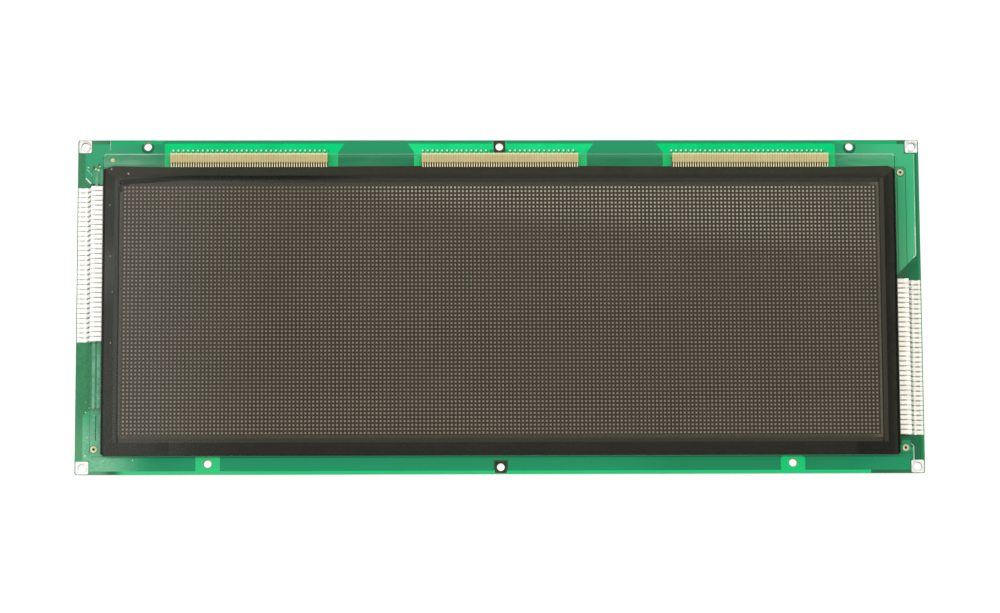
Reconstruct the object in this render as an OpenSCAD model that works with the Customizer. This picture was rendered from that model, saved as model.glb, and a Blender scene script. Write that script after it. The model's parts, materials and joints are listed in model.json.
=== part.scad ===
// Gas-plasma dot matrix display module, lying on its component side with the display face up.
// X runs along the long side, Y up the picture, Z out of the display face.
// The origin is under the middle of the board, level with the lowest component.

/* [Dot matrix] */
// Distance between neighbouring dots
dot_pitch = 2.032; // [1.9:0.002:2.2]
// Number of dot columns
dot_columns = 192; // [180:3:210]
// Number of dot rows
dot_rows = 64; // [60:2:72]

/* [Glass panel] */
// Thickness of each glass plate
glass_t = 3; // [2.5:0.1:4]
// Space between the two plates
cell_gap = 0.5; // [0.4:0.05:1]
// Front plate beyond the dots at each side
front_side_margin = 10.2; // [9:0.1:12]
// Front plate beyond the dots at the top, with its clear ledge
front_top_margin = 16.1; // [15.5:0.1:20]
// Both plates beyond the dots at the bottom
bottom_margin = 10.8; // [9:0.1:16]
// Rear plate beyond the dots at each side, with its clear ledge
rear_side_margin = 16.1; // [15.8:0.1:20]
// Rear plate beyond the dots at the top
rear_top_margin = 9.8; // [8.5:0.1:11]
// Cut across each corner of the plates
glass_corner_cut = 1.2; // [0.4:0.1:2]
// Black border beyond the dots at the top
border_top_margin = 10.2; // [9.5:0.1:11.5]
// Width of the plain strip between the dots and the black border at the sides
border_side_gap = 4.4; // [3:0.1:6]
// Width of the plain strip between the dots and the black border at top and bottom
border_end_gap = 3.9; // [2.6:0.1:5]
// Thickness of the printed black border
border_t = 0.12; // [0.08:0.01:0.2]
// Cut across the upper corners of the black border
border_corner_cut = 3.4; // [1:0.1:5]
// Gap between the dots and the seal's inner edge at the sides
seal_side_gap = 1.7; // [1:0.1:2.4]
// Gap between the dots and the seal's inner edge at top and bottom
seal_end_gap = 1.7; // [1:0.1:2]
// Width of the seal
seal_w = 6; // [5:0.1:6.4]
// Radius of the seal's inner edge at the upper left corner
seal_corner_r = 4.6; // [2:0.1:6]
// Radius of the seal's inner edge at the lower left corner
seal_low_corner_r = 2.8; // [1:0.1:6]
// Length of the bowed stretch of the seal's upper edge at the left
bow_length = 70; // [40:1:100]
// Height of that bow
bow_rise = 0.6; // [0.2:0.1:1]
// Drop of the upper edge at the bow's left end
bow_drop = 1; // [0.2:0.1:1.2]
// Side of a dot
dot_size = 0.95; // [0.8:0.05:1.4]
// Thickness of the dark ground printed on the rear plate
ground_t = 0.05; // [0.02:0.01:0.08]
// Thickness of the cathode rows printed on the ground
cathode_t = 0.05; // [0.02:0.01:0.08]
// Height of the ribs that part the dots of a row
rib_t = 0.1; // [0.04:0.01:0.12]

/* [Exhaust tip] */
// Radius of the exhaust tube
tip_r = 2.6; // [1.8:0.1:3.5]
// Radius of its foot on the rear plate
tip_foot_r = 4.4; // [3.8:0.1:6]
// Clearance between the sealed end and the board
tip_clearance = 0.9; // [0.5:0.1:3]
// Distance of the tip from the panel's right edge
tip_inset_x = 38; // [30:1:40]
// Distance of the tip from the panel's bottom edge
tip_inset_y = 26; // [22:1:40]

/* [Circuit board] */
// Thickness of the board
board_t = 1.6; // [1.2:0.1:2.4]
// Board beyond the rear plate at each side
board_side = 8.528; // [8.3:0.001:14]
// Board beyond the front plate at the top
board_above = 10.15; // [9.8:0.01:14]
// Board beyond the plates at the bottom
board_below = 8.202; // [7.9:0.001:14]
// Space between the board and the rear plate
stand_off = 9.25; // [7.5:0.05:14]
// Radius of the board's corners
board_corner_r = 0.8; // [0.4:0.1:1.4]

/* [Screw holes] */
// Diameter of the ten screw holes
hole_d = 4; // [3:0.1:4.2]
// Corner holes from the left and right edges
corner_inset_x = 3.8; // [3.6:0.1:4.4]
// Corner, middle and top holes from the top and bottom edges
edge_inset = 3.5; // [3.4:0.1:4]
// Outer top holes from the left and right edges
top_hole_inset = 36.3; // [34:0.1:38]
// Outer bottom holes from the left and right edges
bottom_hole_inset_x = 68.5; // [60:0.1:90]
// Outer bottom holes from the bottom edge
bottom_hole_inset_y = 5.5; // [4.6:0.1:5.9]
// Side of the tinned square land round each corner hole
corner_land = 6.6; // [6:0.1:6.8]
// Side of the dark square land round each middle hole
middle_land = 6.2; // [5.8:0.1:6.6]
// Height of the solder ring on a corner land
land_ring_h = 0.25; // [0.15:0.05:0.5]
// Width of that ring
land_ring_w = 0.7; // [0.4:0.1:0.9]

/* [Front copper] */
// Thickness of the copper areas and lands
copper_t = 0.1; // [0.05:0.01:0.15]
// Left copper areas from the board's left edge
copper_left_inset = 3.9; // [3:0.1:5]
// Upper right copper area from the board's right edge
copper_right_inset = 2.1; // [1.5:0.1:4]
// Lower right copper area from the board's right edge
copper_low_right_inset = 5.8; // [4.6:0.1:7]
// Copper near the top corners, from the board's top edge
copper_top_inset = 2.1; // [1.4:0.1:2.5]
// Copper between the outer top holes, from the board's top edge
copper_middle_inset = 0.3; // [0.2:0.1:0.8]
// Ends of that stretch, from the left and right edges of the board
copper_middle_ends = 45; // [40:0.5:48]
// Copper from the board's bottom edge
copper_bottom_inset = 1.7; // [1:0.1:2.5]
// Lower end of the upper left area, from the board's top edge
upper_left_depth = 23; // [18:0.1:24]
// Lower end of the upper right area, from the board's top edge
upper_right_depth = 61.1; // [40:0.1:61.1]
// Upper end of the lower left area, from the board's bottom edge
lower_left_rise = 33.2; // [18:0.1:60]
// Upper end of the lower right area, from the board's bottom edge
lower_right_rise = 14.5; // [10:0.1:16]
// Cut across the outer corners of the left areas
copper_cut = 2.8; // [1:0.1:4]
// Reach of the copper areas under the front plate
copper_reach = 5; // [1:0.1:6]
// Half width of the window in the copper round each comb
window_half = 45.2; // [43.5:0.1:46]
// Middle of a window to the right of its comb's middle
window_shift = 0.6; // [0:0.1:0.8]
// Windows from the board's top edge
window_inset = 1.8; // [1:0.1:2.4]
// Flare of a window at its upper end, towards the next comb
window_flare = 3.3; // [1:0.1:5]
// Depth of that flare
flare_depth = 4.6; // [2:0.1:5]
// Half width of the bare island round each outer bottom hole
island_half = 6.3; // [5:0.1:9]
// Bare gap round a land in the copper
copper_gap = 0.5; // [0.2:0.1:0.8]

/* [Eyelets] */
// Outer radius of an eyelet
eyelet_r = 1.7; // [1.3:0.05:2]
// Radius of the blind bore in an eyelet
eyelet_bore_r = 0.7; // [0.4:0.05:0.8]
// Wall of an eyelet's tube
eyelet_wall = 0.25; // [0.15:0.05:0.3]
// Height of an eyelet's collar above the board
eyelet_h = 0.8; // [0.4:0.05:1.2]
// Eyelets from the left and right edges of the board
eyelet_inset_x = 9.8; // [9:0.1:11]
// Upper eyelet from the board's top edge
eyelet_from_top = 17.3; // [15.5:0.1:19]
// Lower eyelets from the board's bottom edge
eyelet_from_bottom = 13.1; // [11:0.1:14.5]

/* [Column leads] */
// Distance between neighbouring column leads
column_lead_pitch = 1.27; // [1.2:0.01:1.3]
// Number of combs along the top
combs = 3; // [3]
// Number of leads in a comb
comb_leads = 64; // [60:2:64]
// Thickness of the lead strip
lead_t = 0.3; // [0.2:0.01:0.35]
// Width of a column lead's clip
clip_w = 1.1; // [0.9:0.01:1.15]
// Width of a column lead's tip and leg
tip_w = 0.5; // [0.4:0.01:0.6]
// Length of the clip on the front of the glass
clip_front = 4.5; // [3:0.1:5]
// Length of the narrow tip beyond it
tip_length = 2.5; // [1.5:0.1:3]
// Length of the clip behind the glass
clip_back = 2.6; // [1.5:0.1:3.5]
// Space between a clip and the edge of the glass
clip_clearance = 0.05; // [0:0.01:0.2]
// Distance between the two rows of leg holes, of which the inner one is straight below the clips
leg_row_spacing = 2.54; // [2:0.01:2.6]
// Height above the board at which an outer leg turns straight down
leg_turn_h = 2; // [1:0.1:3]
// Length of a leg beyond the rear of the board
leg_out = 1; // [0.6:0.1:2]
// Width of the six-sided hole for a leg
leg_hole_d = 0.85; // [0.8:0.01:0.95]

/* [Tinned points above the combs] */
// Row of points from the board's top edge
point_row_inset = 5.5; // [5.2:0.05:5.8]
// Radius of a point
point_r = 0.55; // [0.4:0.05:0.7]
// Height of a point
point_h = 0.4; // [0.2:0.05:0.6]
// Half width of the stretch by the middle hole that has no points
clear_of_middle = 5; // [4.5:0.1:6]

/* [Row leads] */
// Distance between neighbouring row leads
row_lead_pitch = 2.54; // [2.45:0.01:2.6]
// Left strip above the matrix centre
left_strip_rise = 25.3; // [22:0.1:26]
// Right strip below the matrix centre
right_strip_drop = 23.7; // [22:0.1:26]
// Width of a row lead
row_lead_w = 1.45; // [1.2:0.01:1.7]
// Width of its shoulder, heel and toe
shoulder_w = 2.3; // [2:0.01:2.4]
// Gap between the front plate's edge and the tips of the row leads
tine_gap = 0.6; // [0.3:0.1:1]
// Length of the wide shoulder on the ledge
shoulder_length = 1.9; // [1:0.1:2.5]
// Length of the clip under the rear plate
row_clip_back = 2.4; // [1.5:0.1:3.5]
// Heel of the foot, beyond the rear plate's edge
heel_reach = 3.3; // [2.5:0.1:4]
// Length of the wide heel
heel_length = 1.2; // [0.8:0.1:1.5]
// Toe of the foot, beyond the rear plate's edge
toe_reach = 7.9; // [7:0.1:8]
// Length of the wide toe
toe_length = 1.1; // [0.6:0.1:1.3]
// How far a shoulder lies below its foot
row_jog = 1; // [0:0.1:1.1]
// Where the slope narrows, as a share of its length
knee_share = 0.2; // [0.1:0.05:0.6]
// Land beyond the toe
land_margin = 0.2; // [0.1:0.05:0.25]
// Land inside the heel
land_tail = 1.9; // [0.2:0.1:2]

/* [Foam pads] */
// Length of a foam pad
foam_length = 60; // [40:1:64]
// Width of a foam pad
foam_w = 12; // [8:0.5:16]
// Foam pads from the middle of the board, along X
foam_x = 125; // [110:1:130]
// Foam pads from the matrix centre, along Y
foam_y = 46; // [30:1:50]

/* [Driver chips] */
// Side of a driver chip's body
chip_side = 16.6; // [16:0.1:18]
// Height of a driver chip above the board
chip_h = 4.4; // [3.8:0.1:5]
// Gap under a driver chip's body
chip_lift = 0.5; // [0.3:0.1:0.9]
// Draft of the body's moulded sides
chip_draft = 0.35; // [0.1:0.05:0.5]
// Number of leads on each side of a driver chip
chip_side_leads = 11; // [9:2:11]
// Distance between its leads
chip_lead_pitch = 1.27; // [1.2:0.01:1.3]
// Width of a chip lead
chip_lead_w = 0.5; // [0.4:0.05:0.6]
// Stand-out of a chip lead from the body
chip_lead_out = 0.45; // [0.3:0.05:0.7]
// Column driver chips from the middle of their comb
driver_offset = 32.5; // [30:0.1:33]
// Column driver chips from the board's top edge
driver_inset = 30.6; // [26:0.1:34]
// Row driver chips from the left and right edges of the board
row_driver_inset = 27; // [24:0.1:30]

/* [Buffer chips] */
// Length of a buffer chip's body
buffer_length = 12.8; // [12.6:0.1:14]
// Width of a buffer chip's body
buffer_w = 7.5; // [7:0.1:8]
// Height of a buffer chip above the board
buffer_h = 2.5; // [2.2:0.1:3]
// Number of leads on each side of a buffer chip
buffer_side_leads = 10; // [8:1:10]
// Stand-out of its leads
buffer_lead_out = 1.4; // [1:0.1:1.8]
// Distance between buffer chips
buffer_spacing = 60; // [40:1:70]
// Buffer chips above the matrix centre
buffer_y = 20; // [10:1:28]

/* [Reservoir capacitors] */
// Radius of a capacitor's can
can_r = 5; // [4:0.1:6]
// Height of a capacitor above the board, which is the tallest thing there
capacitor_h = 12; // [11.6:0.1:16]
// Height of its rubber seal, where it seats on the board
rubber_h = 0.6; // [0.4:0.1:1.2]
// Distance between its wires
wire_spacing = 5; // [4:0.1:5.5]
// Diameter of a wire
wire_d = 0.6; // [0.5:0.05:0.8]
// Upper capacitors from the middle of the board, along X
upper_capacitor_x = 65; // [60:1:70]
// Lower capacitors from the middle of the board, along X
lower_capacitor_x = 150; // [120:1:160]
// Lower capacitors from the board's bottom edge
lower_capacitor_inset = 26; // [22:1:28]

/* [Headers] */
// Distance between data pins
data_pitch = 2.54; // [2.4:0.01:2.6]
// Number of data pins in a row
data_pins_long = 10; // [7:1:12]
// Side of a square data pin
data_pin_w = 0.64; // [0.5:0.01:0.7]
// Height of the data header's base
data_base_h = 2.54; // [2:0.01:3]
// Height of the data pins above the board
data_pin_h = 8.6; // [7:0.1:10]
// Data header left of the board's middle
data_header_x = 62; // [40:1:75]
// Headers from the board's bottom edge
header_inset = 19; // [15:0.5:21]
// Distance between power pins
power_pitch = 3.96; // [3.8:0.01:4.1]
// Number of power pins
power_pin_count = 8; // [6:1:9]
// Side of a square power pin
power_pin_w = 1.14; // [1:0.01:1.2]
// Height of the power header's base
power_base_h = 3.2; // [2.8:0.1:4]
// Width of the power header's base
power_base_w = 8.4; // [7.5:0.1:9]
// Height of the power header's latch wall
latch_h = 10.8; // [9:0.1:11.4]
// Thickness of the latch wall
latch_t = 1.2; // [0.8:0.1:1.6]
// Height of the power pins above the board
power_pin_h = 10.2; // [8:0.1:11.4]
// Power header right of the board's middle
power_header_x = 58; // [40:1:80]
// Pins and wires beyond the front of the board
solder_end = 1.2; // [0.8:0.1:2]
// Play between a pin's corners and its hole through the board
pin_play = 0.2; // [0.15:0.01:0.3]

/* [Chip capacitors and resistors] */
// Length of a chip component
chip_part_length = 3.2; // [2.6:0.1:3.6]
// Width of a chip component
chip_part_w = 1.6; // [1.2:0.1:2]
// Height of a chip capacitor
chip_capacitor_h = 1.3; // [0.8:0.1:1.6]
// Height of a chip resistor
chip_resistor_h = 0.6; // [0.5:0.05:0.8]
// Length of each metal end
chip_end = 0.5; // [0.3:0.05:0.7]
// Space between a driver chip's leads and its chip capacitor
chip_part_gap = 2.2; // [1.5:0.1:4]
// Number of chip resistors in the row above the headers
resistors = 16; // [8:2:20]
// Distance between those resistors
resistor_spacing = 6; // [5:0.1:7]
// Resistor row above the headers
resistor_rise = 22; // [18:1:26]

/* [Hidden] */
$fn = 48;
matrix_w = dot_columns * dot_pitch;
matrix_h = dot_rows * dot_pitch;
front_half_w = matrix_w / 2 + front_side_margin;
rear_half_w = matrix_w / 2 + rear_side_margin;
board_half_w = rear_half_w + board_side;
board_h = board_above + front_top_margin + matrix_h + bottom_margin + board_below;
board_top = board_h / 2;
board_bottom = -board_h / 2;
front_top = board_top - board_above;
matrix_y = front_top - front_top_margin - matrix_h / 2;
rear_top = matrix_y + matrix_h / 2 + rear_top_margin;
glass_bottom = matrix_y - matrix_h / 2 - bottom_margin;

board_back = capacitor_h;
board_front = board_back + board_t;
land_top = board_front + copper_t;
rear_back = board_front + stand_off;
rear_front = rear_back + glass_t;
front_back = rear_front + cell_gap;
front_face = front_back + glass_t;
border_back = front_back - border_t;

comb_spacing = matrix_w / combs;
clip_wall = front_top + clip_clearance + lead_t / 2;
row_leads = dot_rows / 2;
chip_reach = chip_side / 2 + chip_lead_out;
driver_y = board_top - driver_inset;
header_y = board_bottom + header_inset;
through = 0.5;
driver_places = [for (comb = [0:combs - 1], side = [-1, 1]) [comb_x(comb) + side * driver_offset, driver_y]];
row_driver_places = [for (side = [-1, 1])
    [side * (board_half_w - row_driver_inset), strip_y(side)]];
buffer_places = [for (i = [-1.5:1.5]) [i * buffer_spacing, matrix_y + buffer_y]];
capacitor_places = [[-upper_capacitor_x, driver_y], [upper_capacitor_x, driver_y],
    [-lower_capacitor_x, board_bottom + lower_capacitor_inset],
    [lower_capacitor_x, board_bottom + lower_capacitor_inset]];
foam_places = [for (x = [-1, 1], y = [-1, 1]) [x * foam_x, matrix_y + y * foam_y]];
hole_places = concat(
    [for (x = [-1, 1], y = [-1, 1]) [x * (board_half_w - corner_inset_x), y * (board_top - edge_inset)]],
    [for (y = [-1, 1]) [0, y * (board_top - edge_inset)]],
    [for (x = [-1, 1]) [x * (board_half_w - top_hole_inset), board_top - edge_inset]],
    bottom_hole_places());
eyelet_places = [[board_half_w - eyelet_inset_x, board_top - eyelet_from_top],
    [board_half_w - eyelet_inset_x, board_bottom + eyelet_from_bottom],
    [-board_half_w + eyelet_inset_x, board_bottom + eyelet_from_bottom]];
data_pin_places = [for (i = [0:data_pins_long - 1], row = [-0.5, 0.5])
    [-data_header_x + (i - (data_pins_long - 1) / 2) * data_pitch, header_y + row * data_pitch]];
power_pin_places = [for (i = [0:power_pin_count - 1])
    [power_header_x + (i - (power_pin_count - 1) / 2) * power_pitch, header_y]];
wire_places = [for (place = capacitor_places, side = [-0.5, 0.5]) place + [side * wire_spacing, 0]];
chip_capacitor_places = concat(
    [for (place = driver_places) place - [0, chip_reach + chip_part_gap]],
    [for (place = row_driver_places) place - [0, chip_reach + chip_part_gap]],
    [for (place = buffer_places) place - [0, buffer_w / 2 + buffer_lead_out + chip_part_gap]]);
resistor_places = [for (i = [0:resistors - 1])
    [(i - (resistors - 1) / 2) * resistor_spacing, header_y + resistor_rise]];

function comb_x(comb) = (comb - (combs - 1) / 2) * comb_spacing;
function bottom_hole_places() = [for (x = [-1, 1])
    [x * (board_half_w - bottom_hole_inset_x), board_bottom + bottom_hole_inset_y]];
function lead_x(i) = (i - (comb_leads - 1) / 2) * column_lead_pitch;
// Every second leg stands in the outer row of holes
function leg_row(i) = clip_wall + (i % 2) * leg_row_spacing;
function leg_places(comb) = [for (i = [0:comb_leads - 1]) [comb_x(comb) + lead_x(i), leg_row(i)]];
function strip_y(side) = matrix_y + (side < 0 ? left_strip_rise : -right_strip_drop);
function row_lead_y(side, i) = strip_y(side) + (i - (row_leads - 1) / 2) * row_lead_pitch;

function unit(v) = v / norm(v);
function left_of(v) = [-v[1], v[0]];
function step_at(path, i) = unit(path[i + 1] - path[i]);
// Mitred offset direction at point i of a bent path
function miter(path, i) =
    let (before = left_of(step_at(path, max(i - 1, 0))),
         after = left_of(step_at(path, min(i, len(path) - 2))),
         middle = unit(before + after))
    middle / (middle * before);
// Outline of a strip of thickness t bent along a path
function strip_outline(path, t) = concat(
    [for (i = [0:len(path) - 1]) path[i] + miter(path, i) * t / 2],
    [for (i = [len(path) - 1:-1:0]) path[i] - miter(path, i) * t / 2]);
// Points of an arc, from one angle to the other
function arc(centre, r, from, to, steps) =
    [for (i = [0:steps]) let (a = from + (to - from) * i / steps) centre + r * [cos(a), sin(a)]];

// Prism whose outline is drawn in Y and Z
module along_x(width) {
    translate([-width / 2, 0, 0]) rotate([90, 0, 90]) linear_extrude(width) children();
}

// Prism whose outline is drawn in X and Z
module along_y(width) {
    translate([0, width / 2, 0]) rotate([90, 0, 0]) linear_extrude(width) children();
}

// Flat rectangle spread between two corners
module area(low, high) {
    translate(low) square(high - low);
}

// Upright round hole through the board
module board_hole(place, r) {
    translate([place[0], place[1], board_back - through]) cylinder(h = board_t + 2 * through, r = r);
}

// Puts a component, drawn standing up, on the rear of the board
module behind(place) {
    translate([place[0], place[1], board_back]) rotate([180, 0, 0]) children();
}

module rounded_area(w, h, r) {
    square([w - 2 * r, h], center = true);
    square([w, h - 2 * r], center = true);
    for (x = [-1, 1], y = [-1, 1]) translate([x * (w / 2 - r), y * (h / 2 - r)]) circle(r);
}

// Rectangle between two corners with all four corners cut off
module cut_corner_area(low, high, cut) {
    polygon([[low[0] + cut, low[1]], [high[0] - cut, low[1]], [high[0], low[1] + cut],
        [high[0], high[1] - cut], [high[0] - cut, high[1]], [low[0] + cut, high[1]], [low[0], high[1] - cut],
        [low[0], low[1] + cut]]);
}

// Upright six-sided holes through the board
module pin_holes(places, d) {
    for (place = places) translate([place[0], place[1], board_back - through])
        cylinder(h = board_t + 2 * through, d = d, $fn = 6);
}

module circuit_board() {
    color("seagreen")
    difference() {
        translate([0, 0, board_back]) linear_extrude(board_t)
            rounded_area(2 * board_half_w, board_h, board_corner_r);
        for (place = hole_places) board_hole(place, hole_d / 2);
        for (place = eyelet_places) board_hole(place, eyelet_bore_r + eyelet_wall);
        for (comb = [0:combs - 1]) pin_holes(leg_places(comb), leg_hole_d);
        pin_holes(data_pin_places, data_pin_w * sqrt(2) + pin_play);
        pin_holes(power_pin_places, power_pin_w * sqrt(2) + pin_play);
        pin_holes(wire_places, wire_d + pin_play);
    }
}

// Bare window in the copper round a comb, flared at its upper end towards the next comb
module comb_window(comb) {
    left_flare = comb > 0 ? window_flare : 0;
    right_flare = comb < combs - 1 ? window_flare : 0;
    top = board_top - window_inset;
    low = front_top - 2 * copper_reach;
    translate([comb_x(comb) + window_shift, 0])
        polygon([[-window_half, low], [window_half, low], [window_half, top - flare_depth],
            [window_half + right_flare, top], [-window_half - left_flare, top],
            [-window_half, top - flare_depth]]);
}

module front_copper() {
    left = -board_half_w + copper_left_inset;
    right = board_half_w - copper_right_inset;
    low_right = board_half_w - copper_low_right_inset;
    top = board_top - copper_top_inset;
    bottom = board_bottom + copper_bottom_inset;
    middle = board_half_w - copper_middle_ends;
    rise = copper_top_inset - copper_middle_inset;
    inner = front_half_w - copper_reach;
    upper_left_end = board_top - upper_left_depth;
    upper_right_end = board_top - upper_right_depth;
    lower_left_end = board_bottom + lower_left_rise;
    lower_right_end = board_bottom + lower_right_rise;
    island_depth = bottom_hole_inset_y;
    color("mediumseagreen")
    translate([0, 0, board_front]) linear_extrude(copper_t) difference() {
        union() {
            area([left + copper_cut, front_top - copper_reach], [inner, top]);
            polygon([[-middle - rise, front_top - copper_reach], [middle + rise, front_top - copper_reach],
                [middle + rise, top], [middle, top + rise], [-middle, top + rise], [-middle - rise, top]]);
            area([left + copper_cut, bottom], [low_right, glass_bottom + copper_reach]);
            polygon([[left, top], [-inner, top], [-inner, upper_left_end],
                [left + copper_cut, upper_left_end], [left, upper_left_end + copper_cut]]);
            polygon([[left, bottom], [-inner, bottom], [-inner, lower_left_end],
                [left + copper_cut, lower_left_end], [left, lower_left_end - copper_cut]]);
            polygon([[right, top], [inner, top], [inner, upper_right_end - right + inner],
                [right, upper_right_end]]);
            polygon([[low_right, bottom], [inner, bottom], [inner, lower_right_end],
                [low_right - copper_cut, lower_right_end], [low_right, lower_right_end - copper_cut]]);
        }
        for (comb = [0:combs - 1]) comb_window(comb);
        for (place = bottom_hole_places()) translate([place[0], place[1] + (island_half - island_depth) / 2])
            square([2 * island_half, island_half + island_depth], center = true);
        for (i = [0:5])
            translate(hole_places[i]) square(corner_land + 2 * copper_gap, center = true);
        for (i = [6:7]) translate(hole_places[i]) circle(d = hole_d + copper_gap);
        for (place = eyelet_places) translate(place) circle(eyelet_r + copper_gap);
    }
}

// Square land with round corners, bored like the screw hole
module land_outline(side) {
    difference() {
        rounded_area(side, side, side / 8);
        circle(d = hole_d);
    }
}

module corner_lands() {
    color("gainsboro")
    for (i = [0:3]) translate([hole_places[i][0], hole_places[i][1], board_front]) {
        linear_extrude(copper_t) land_outline(corner_land);
        rotate_extrude() translate([hole_d / 2, 0]) polygon([[0, copper_t / 2], [land_ring_w, copper_t / 2],
            [land_ring_w, copper_t], [land_ring_w * 0.7, copper_t + land_ring_h],
            [land_ring_w * 0.2, copper_t + land_ring_h], [0, copper_t + land_ring_h / 2]]);
    }
}

module middle_lands() {
    color("dimgray")
    for (i = [4:5]) translate([hole_places[i][0], hole_places[i][1], board_front])
        linear_extrude(copper_t) land_outline(middle_land);
}

module test_eyelets() {
    tube_r = eyelet_bore_r + eyelet_wall;
    color("goldenrod")
    for (place = eyelet_places) translate([place[0], place[1], board_front])
        rotate_extrude() polygon([[0, -board_t], [tube_r, -board_t], [tube_r, 0], [eyelet_r, 0],
            [eyelet_r, eyelet_h / 2], [tube_r, eyelet_h], [eyelet_bore_r, eyelet_h * 0.8],
            [eyelet_bore_r, eyelet_wall - board_t], [0, eyelet_wall - board_t]]);
}

// Low caps of solder in a row above each comb, one in line with every second lead
module tinned_points() {
    color("white")
    for (comb = [0:combs - 1], i = [0:2:comb_leads - 1]) {
        x = comb_x(comb) + lead_x(i);
        if (abs(x) > clear_of_middle)
            translate([x, board_top - point_row_inset, board_front])
                cylinder(h = point_h, r1 = point_r, r2 = point_r / 2);
    }
}

module row_lands(side) {
    start = heel_reach - land_tail;
    end = toe_reach + land_margin;
    color("lightgray")
    for (i = [0:row_leads - 1])
        translate([side * (rear_half_w + (start + end) / 2), row_lead_y(side, i), board_front])
            linear_extrude(copper_t) square([end - start, shoulder_w], center = true);
}

module rear_glass() {
    color([0.75, 0.85, 0.8, 0.4])
    translate([0, 0, rear_back]) linear_extrude(glass_t)
        cut_corner_area([-rear_half_w, glass_bottom], [rear_half_w, rear_top], glass_corner_cut);
}

module front_glass() {
    color([0.8, 0.88, 0.84, 0.3])
    translate([0, 0, front_back]) linear_extrude(glass_t)
        cut_corner_area([-front_half_w, glass_bottom], [front_half_w, front_top], glass_corner_cut);
}

// Inner edge of the seal: round corners and a bowed upper edge at the left, square at the right
module seal_window() {
    half_w = matrix_w / 2 + seal_side_gap;
    top = matrix_y + matrix_h / 2 + seal_end_gap;
    bottom = matrix_y - matrix_h / 2 - seal_end_gap;
    r = seal_corner_r;
    low_r = seal_low_corner_r;
    bow_steps = 10;
    bow = [for (i = [0:bow_steps]) [-half_w + r + bow_length * i / bow_steps,
        top - bow_drop * (1 - i / bow_steps) + (bow_rise + bow_drop / 2) * sin(180 * i / bow_steps)]];
    polygon(concat(
        [[half_w, bottom], [half_w, top], [-half_w + r + bow_length * 1.2, top]],
        [for (i = [bow_steps:-1:0]) bow[i]],
        arc([-half_w + r, top - bow_drop - r], r, 100, 180, 5),
        arc([-half_w + low_r, bottom + low_r], low_r, 180, 270, 5)));
}

module dark_ground() {
    color("dimgray")
    translate([0, 0, rear_front]) linear_extrude(ground_t) seal_window();
}

function dot_x(column) = (column - (dot_columns - 1) / 2) * dot_pitch;
function dot_y(row) = matrix_y + (row - (dot_rows - 1) / 2) * dot_pitch;

// Pale rows, of which the ribs leave only the dots in sight
module cathode_rows() {
    color("tan")
    translate([0, 0, rear_front + ground_t]) linear_extrude(cathode_t) intersection() {
        for (row = [0:dot_rows - 1]) translate([0, dot_y(row)]) square([matrix_w, dot_size], center = true);
        seal_window();
    }
}

// Dark ribs on both sides of each column
module dot_ribs() {
    color("#3c3a36")
    translate([0, 0, rear_front + ground_t + cathode_t]) linear_extrude(rib_t) intersection() {
        for (column = [-1:dot_columns - 1]) translate([dot_x(column) + dot_pitch / 2, matrix_y])
            square([dot_pitch - dot_size, matrix_h], center = true);
        seal_window();
    }
}

module seal_frame() {
    window_low = [-matrix_w / 2 - seal_side_gap, matrix_y - matrix_h / 2 - seal_end_gap];
    window_high = [matrix_w / 2 + seal_side_gap, matrix_y + matrix_h / 2 + seal_end_gap];
    color("darkslategray")
    translate([0, 0, rear_front]) linear_extrude(cell_gap - border_t) difference() {
        cut_corner_area(window_low - [seal_w, seal_w], window_high + [seal_w, seal_w], glass_corner_cut);
        seal_window();
    }
}

// The border runs out to the plate's edges and stops below the clear ledge, with an uneven upper edge
module border_outline() {
    x = front_half_w;
    top = matrix_y + matrix_h / 2 + border_top_margin;
    cut = border_corner_cut;
    dip = cut / 5;
    polygon([[-x + glass_corner_cut, glass_bottom], [x - glass_corner_cut, glass_bottom],
        [x, glass_bottom + glass_corner_cut], [x, top - cut / 2], [x - cut, top], [x * 0.82, top - dip],
        [x * 0.2, top], [-x * 0.2, top], [-x * 0.82, top - dip], [-x + cut * 1.5, top], [-x, top - cut / 2],
        [-x, glass_bottom + glass_corner_cut]]);
}

module black_border() {
    inner = [matrix_w / 2 + border_side_gap, matrix_h / 2 + border_end_gap];
    color("black")
    translate([0, 0, border_back]) linear_extrude(border_t) difference() {
        border_outline();
        translate([0, matrix_y]) square(2 * inner, center = true);
    }
}

module exhaust_tip() {
    length = stand_off - tip_clearance;
    neck = length * 0.35;
    color([0.8, 0.88, 0.84, 0.5])
    translate([rear_half_w - tip_inset_x, glass_bottom + tip_inset_y, rear_back]) rotate([180, 0, 0])
        rotate_extrude() polygon(concat(
            [[0, 0], [tip_foot_r, 0], [tip_foot_r * 0.92, neck * 0.25], [tip_r * 1.15, neck * 0.7]],
            [[tip_r, neck]],
            [[tip_r, length - tip_r * 1.3], [tip_r * 0.8, length - tip_r * 0.7]],
            [[tip_r * 0.35, length - tip_r * 0.25], [0, length]]));
}

module foam_pad(i) {
    color("dimgray")
    translate([foam_places[i][0], foam_places[i][1], board_front]) linear_extrude(stand_off)
        rounded_area(foam_length, foam_w, foam_w / 12);
}

// One stamped lead: a clip over the glass edge, a narrow tip on the display face and a leg to the board
module column_lead(row) {
    upper = front_face + lead_t / 2;
    lower = front_back - lead_t / 2;
    clip_end = front_top - clip_front;
    turn = row > clip_wall ? [[row, board_front + leg_turn_h]] : [];
    along_x(clip_w) polygon(strip_outline(
        [[clip_end, upper], [clip_wall, upper], [clip_wall, lower], [front_top - clip_back, lower]], lead_t));
    along_x(tip_w) area([clip_end - tip_length, front_face], [clip_end + lead_t, front_face + lead_t]);
    along_x(tip_w) polygon(strip_outline(
        concat([[clip_wall, lower]], turn, [[row, board_back - leg_out]]), lead_t));
}

module column_leads(comb) {
    color("khaki")
    for (i = [0:comb_leads - 1])
        translate([comb_x(comb) + lead_x(i), 0, 0]) column_lead(leg_row(i));
}

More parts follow.
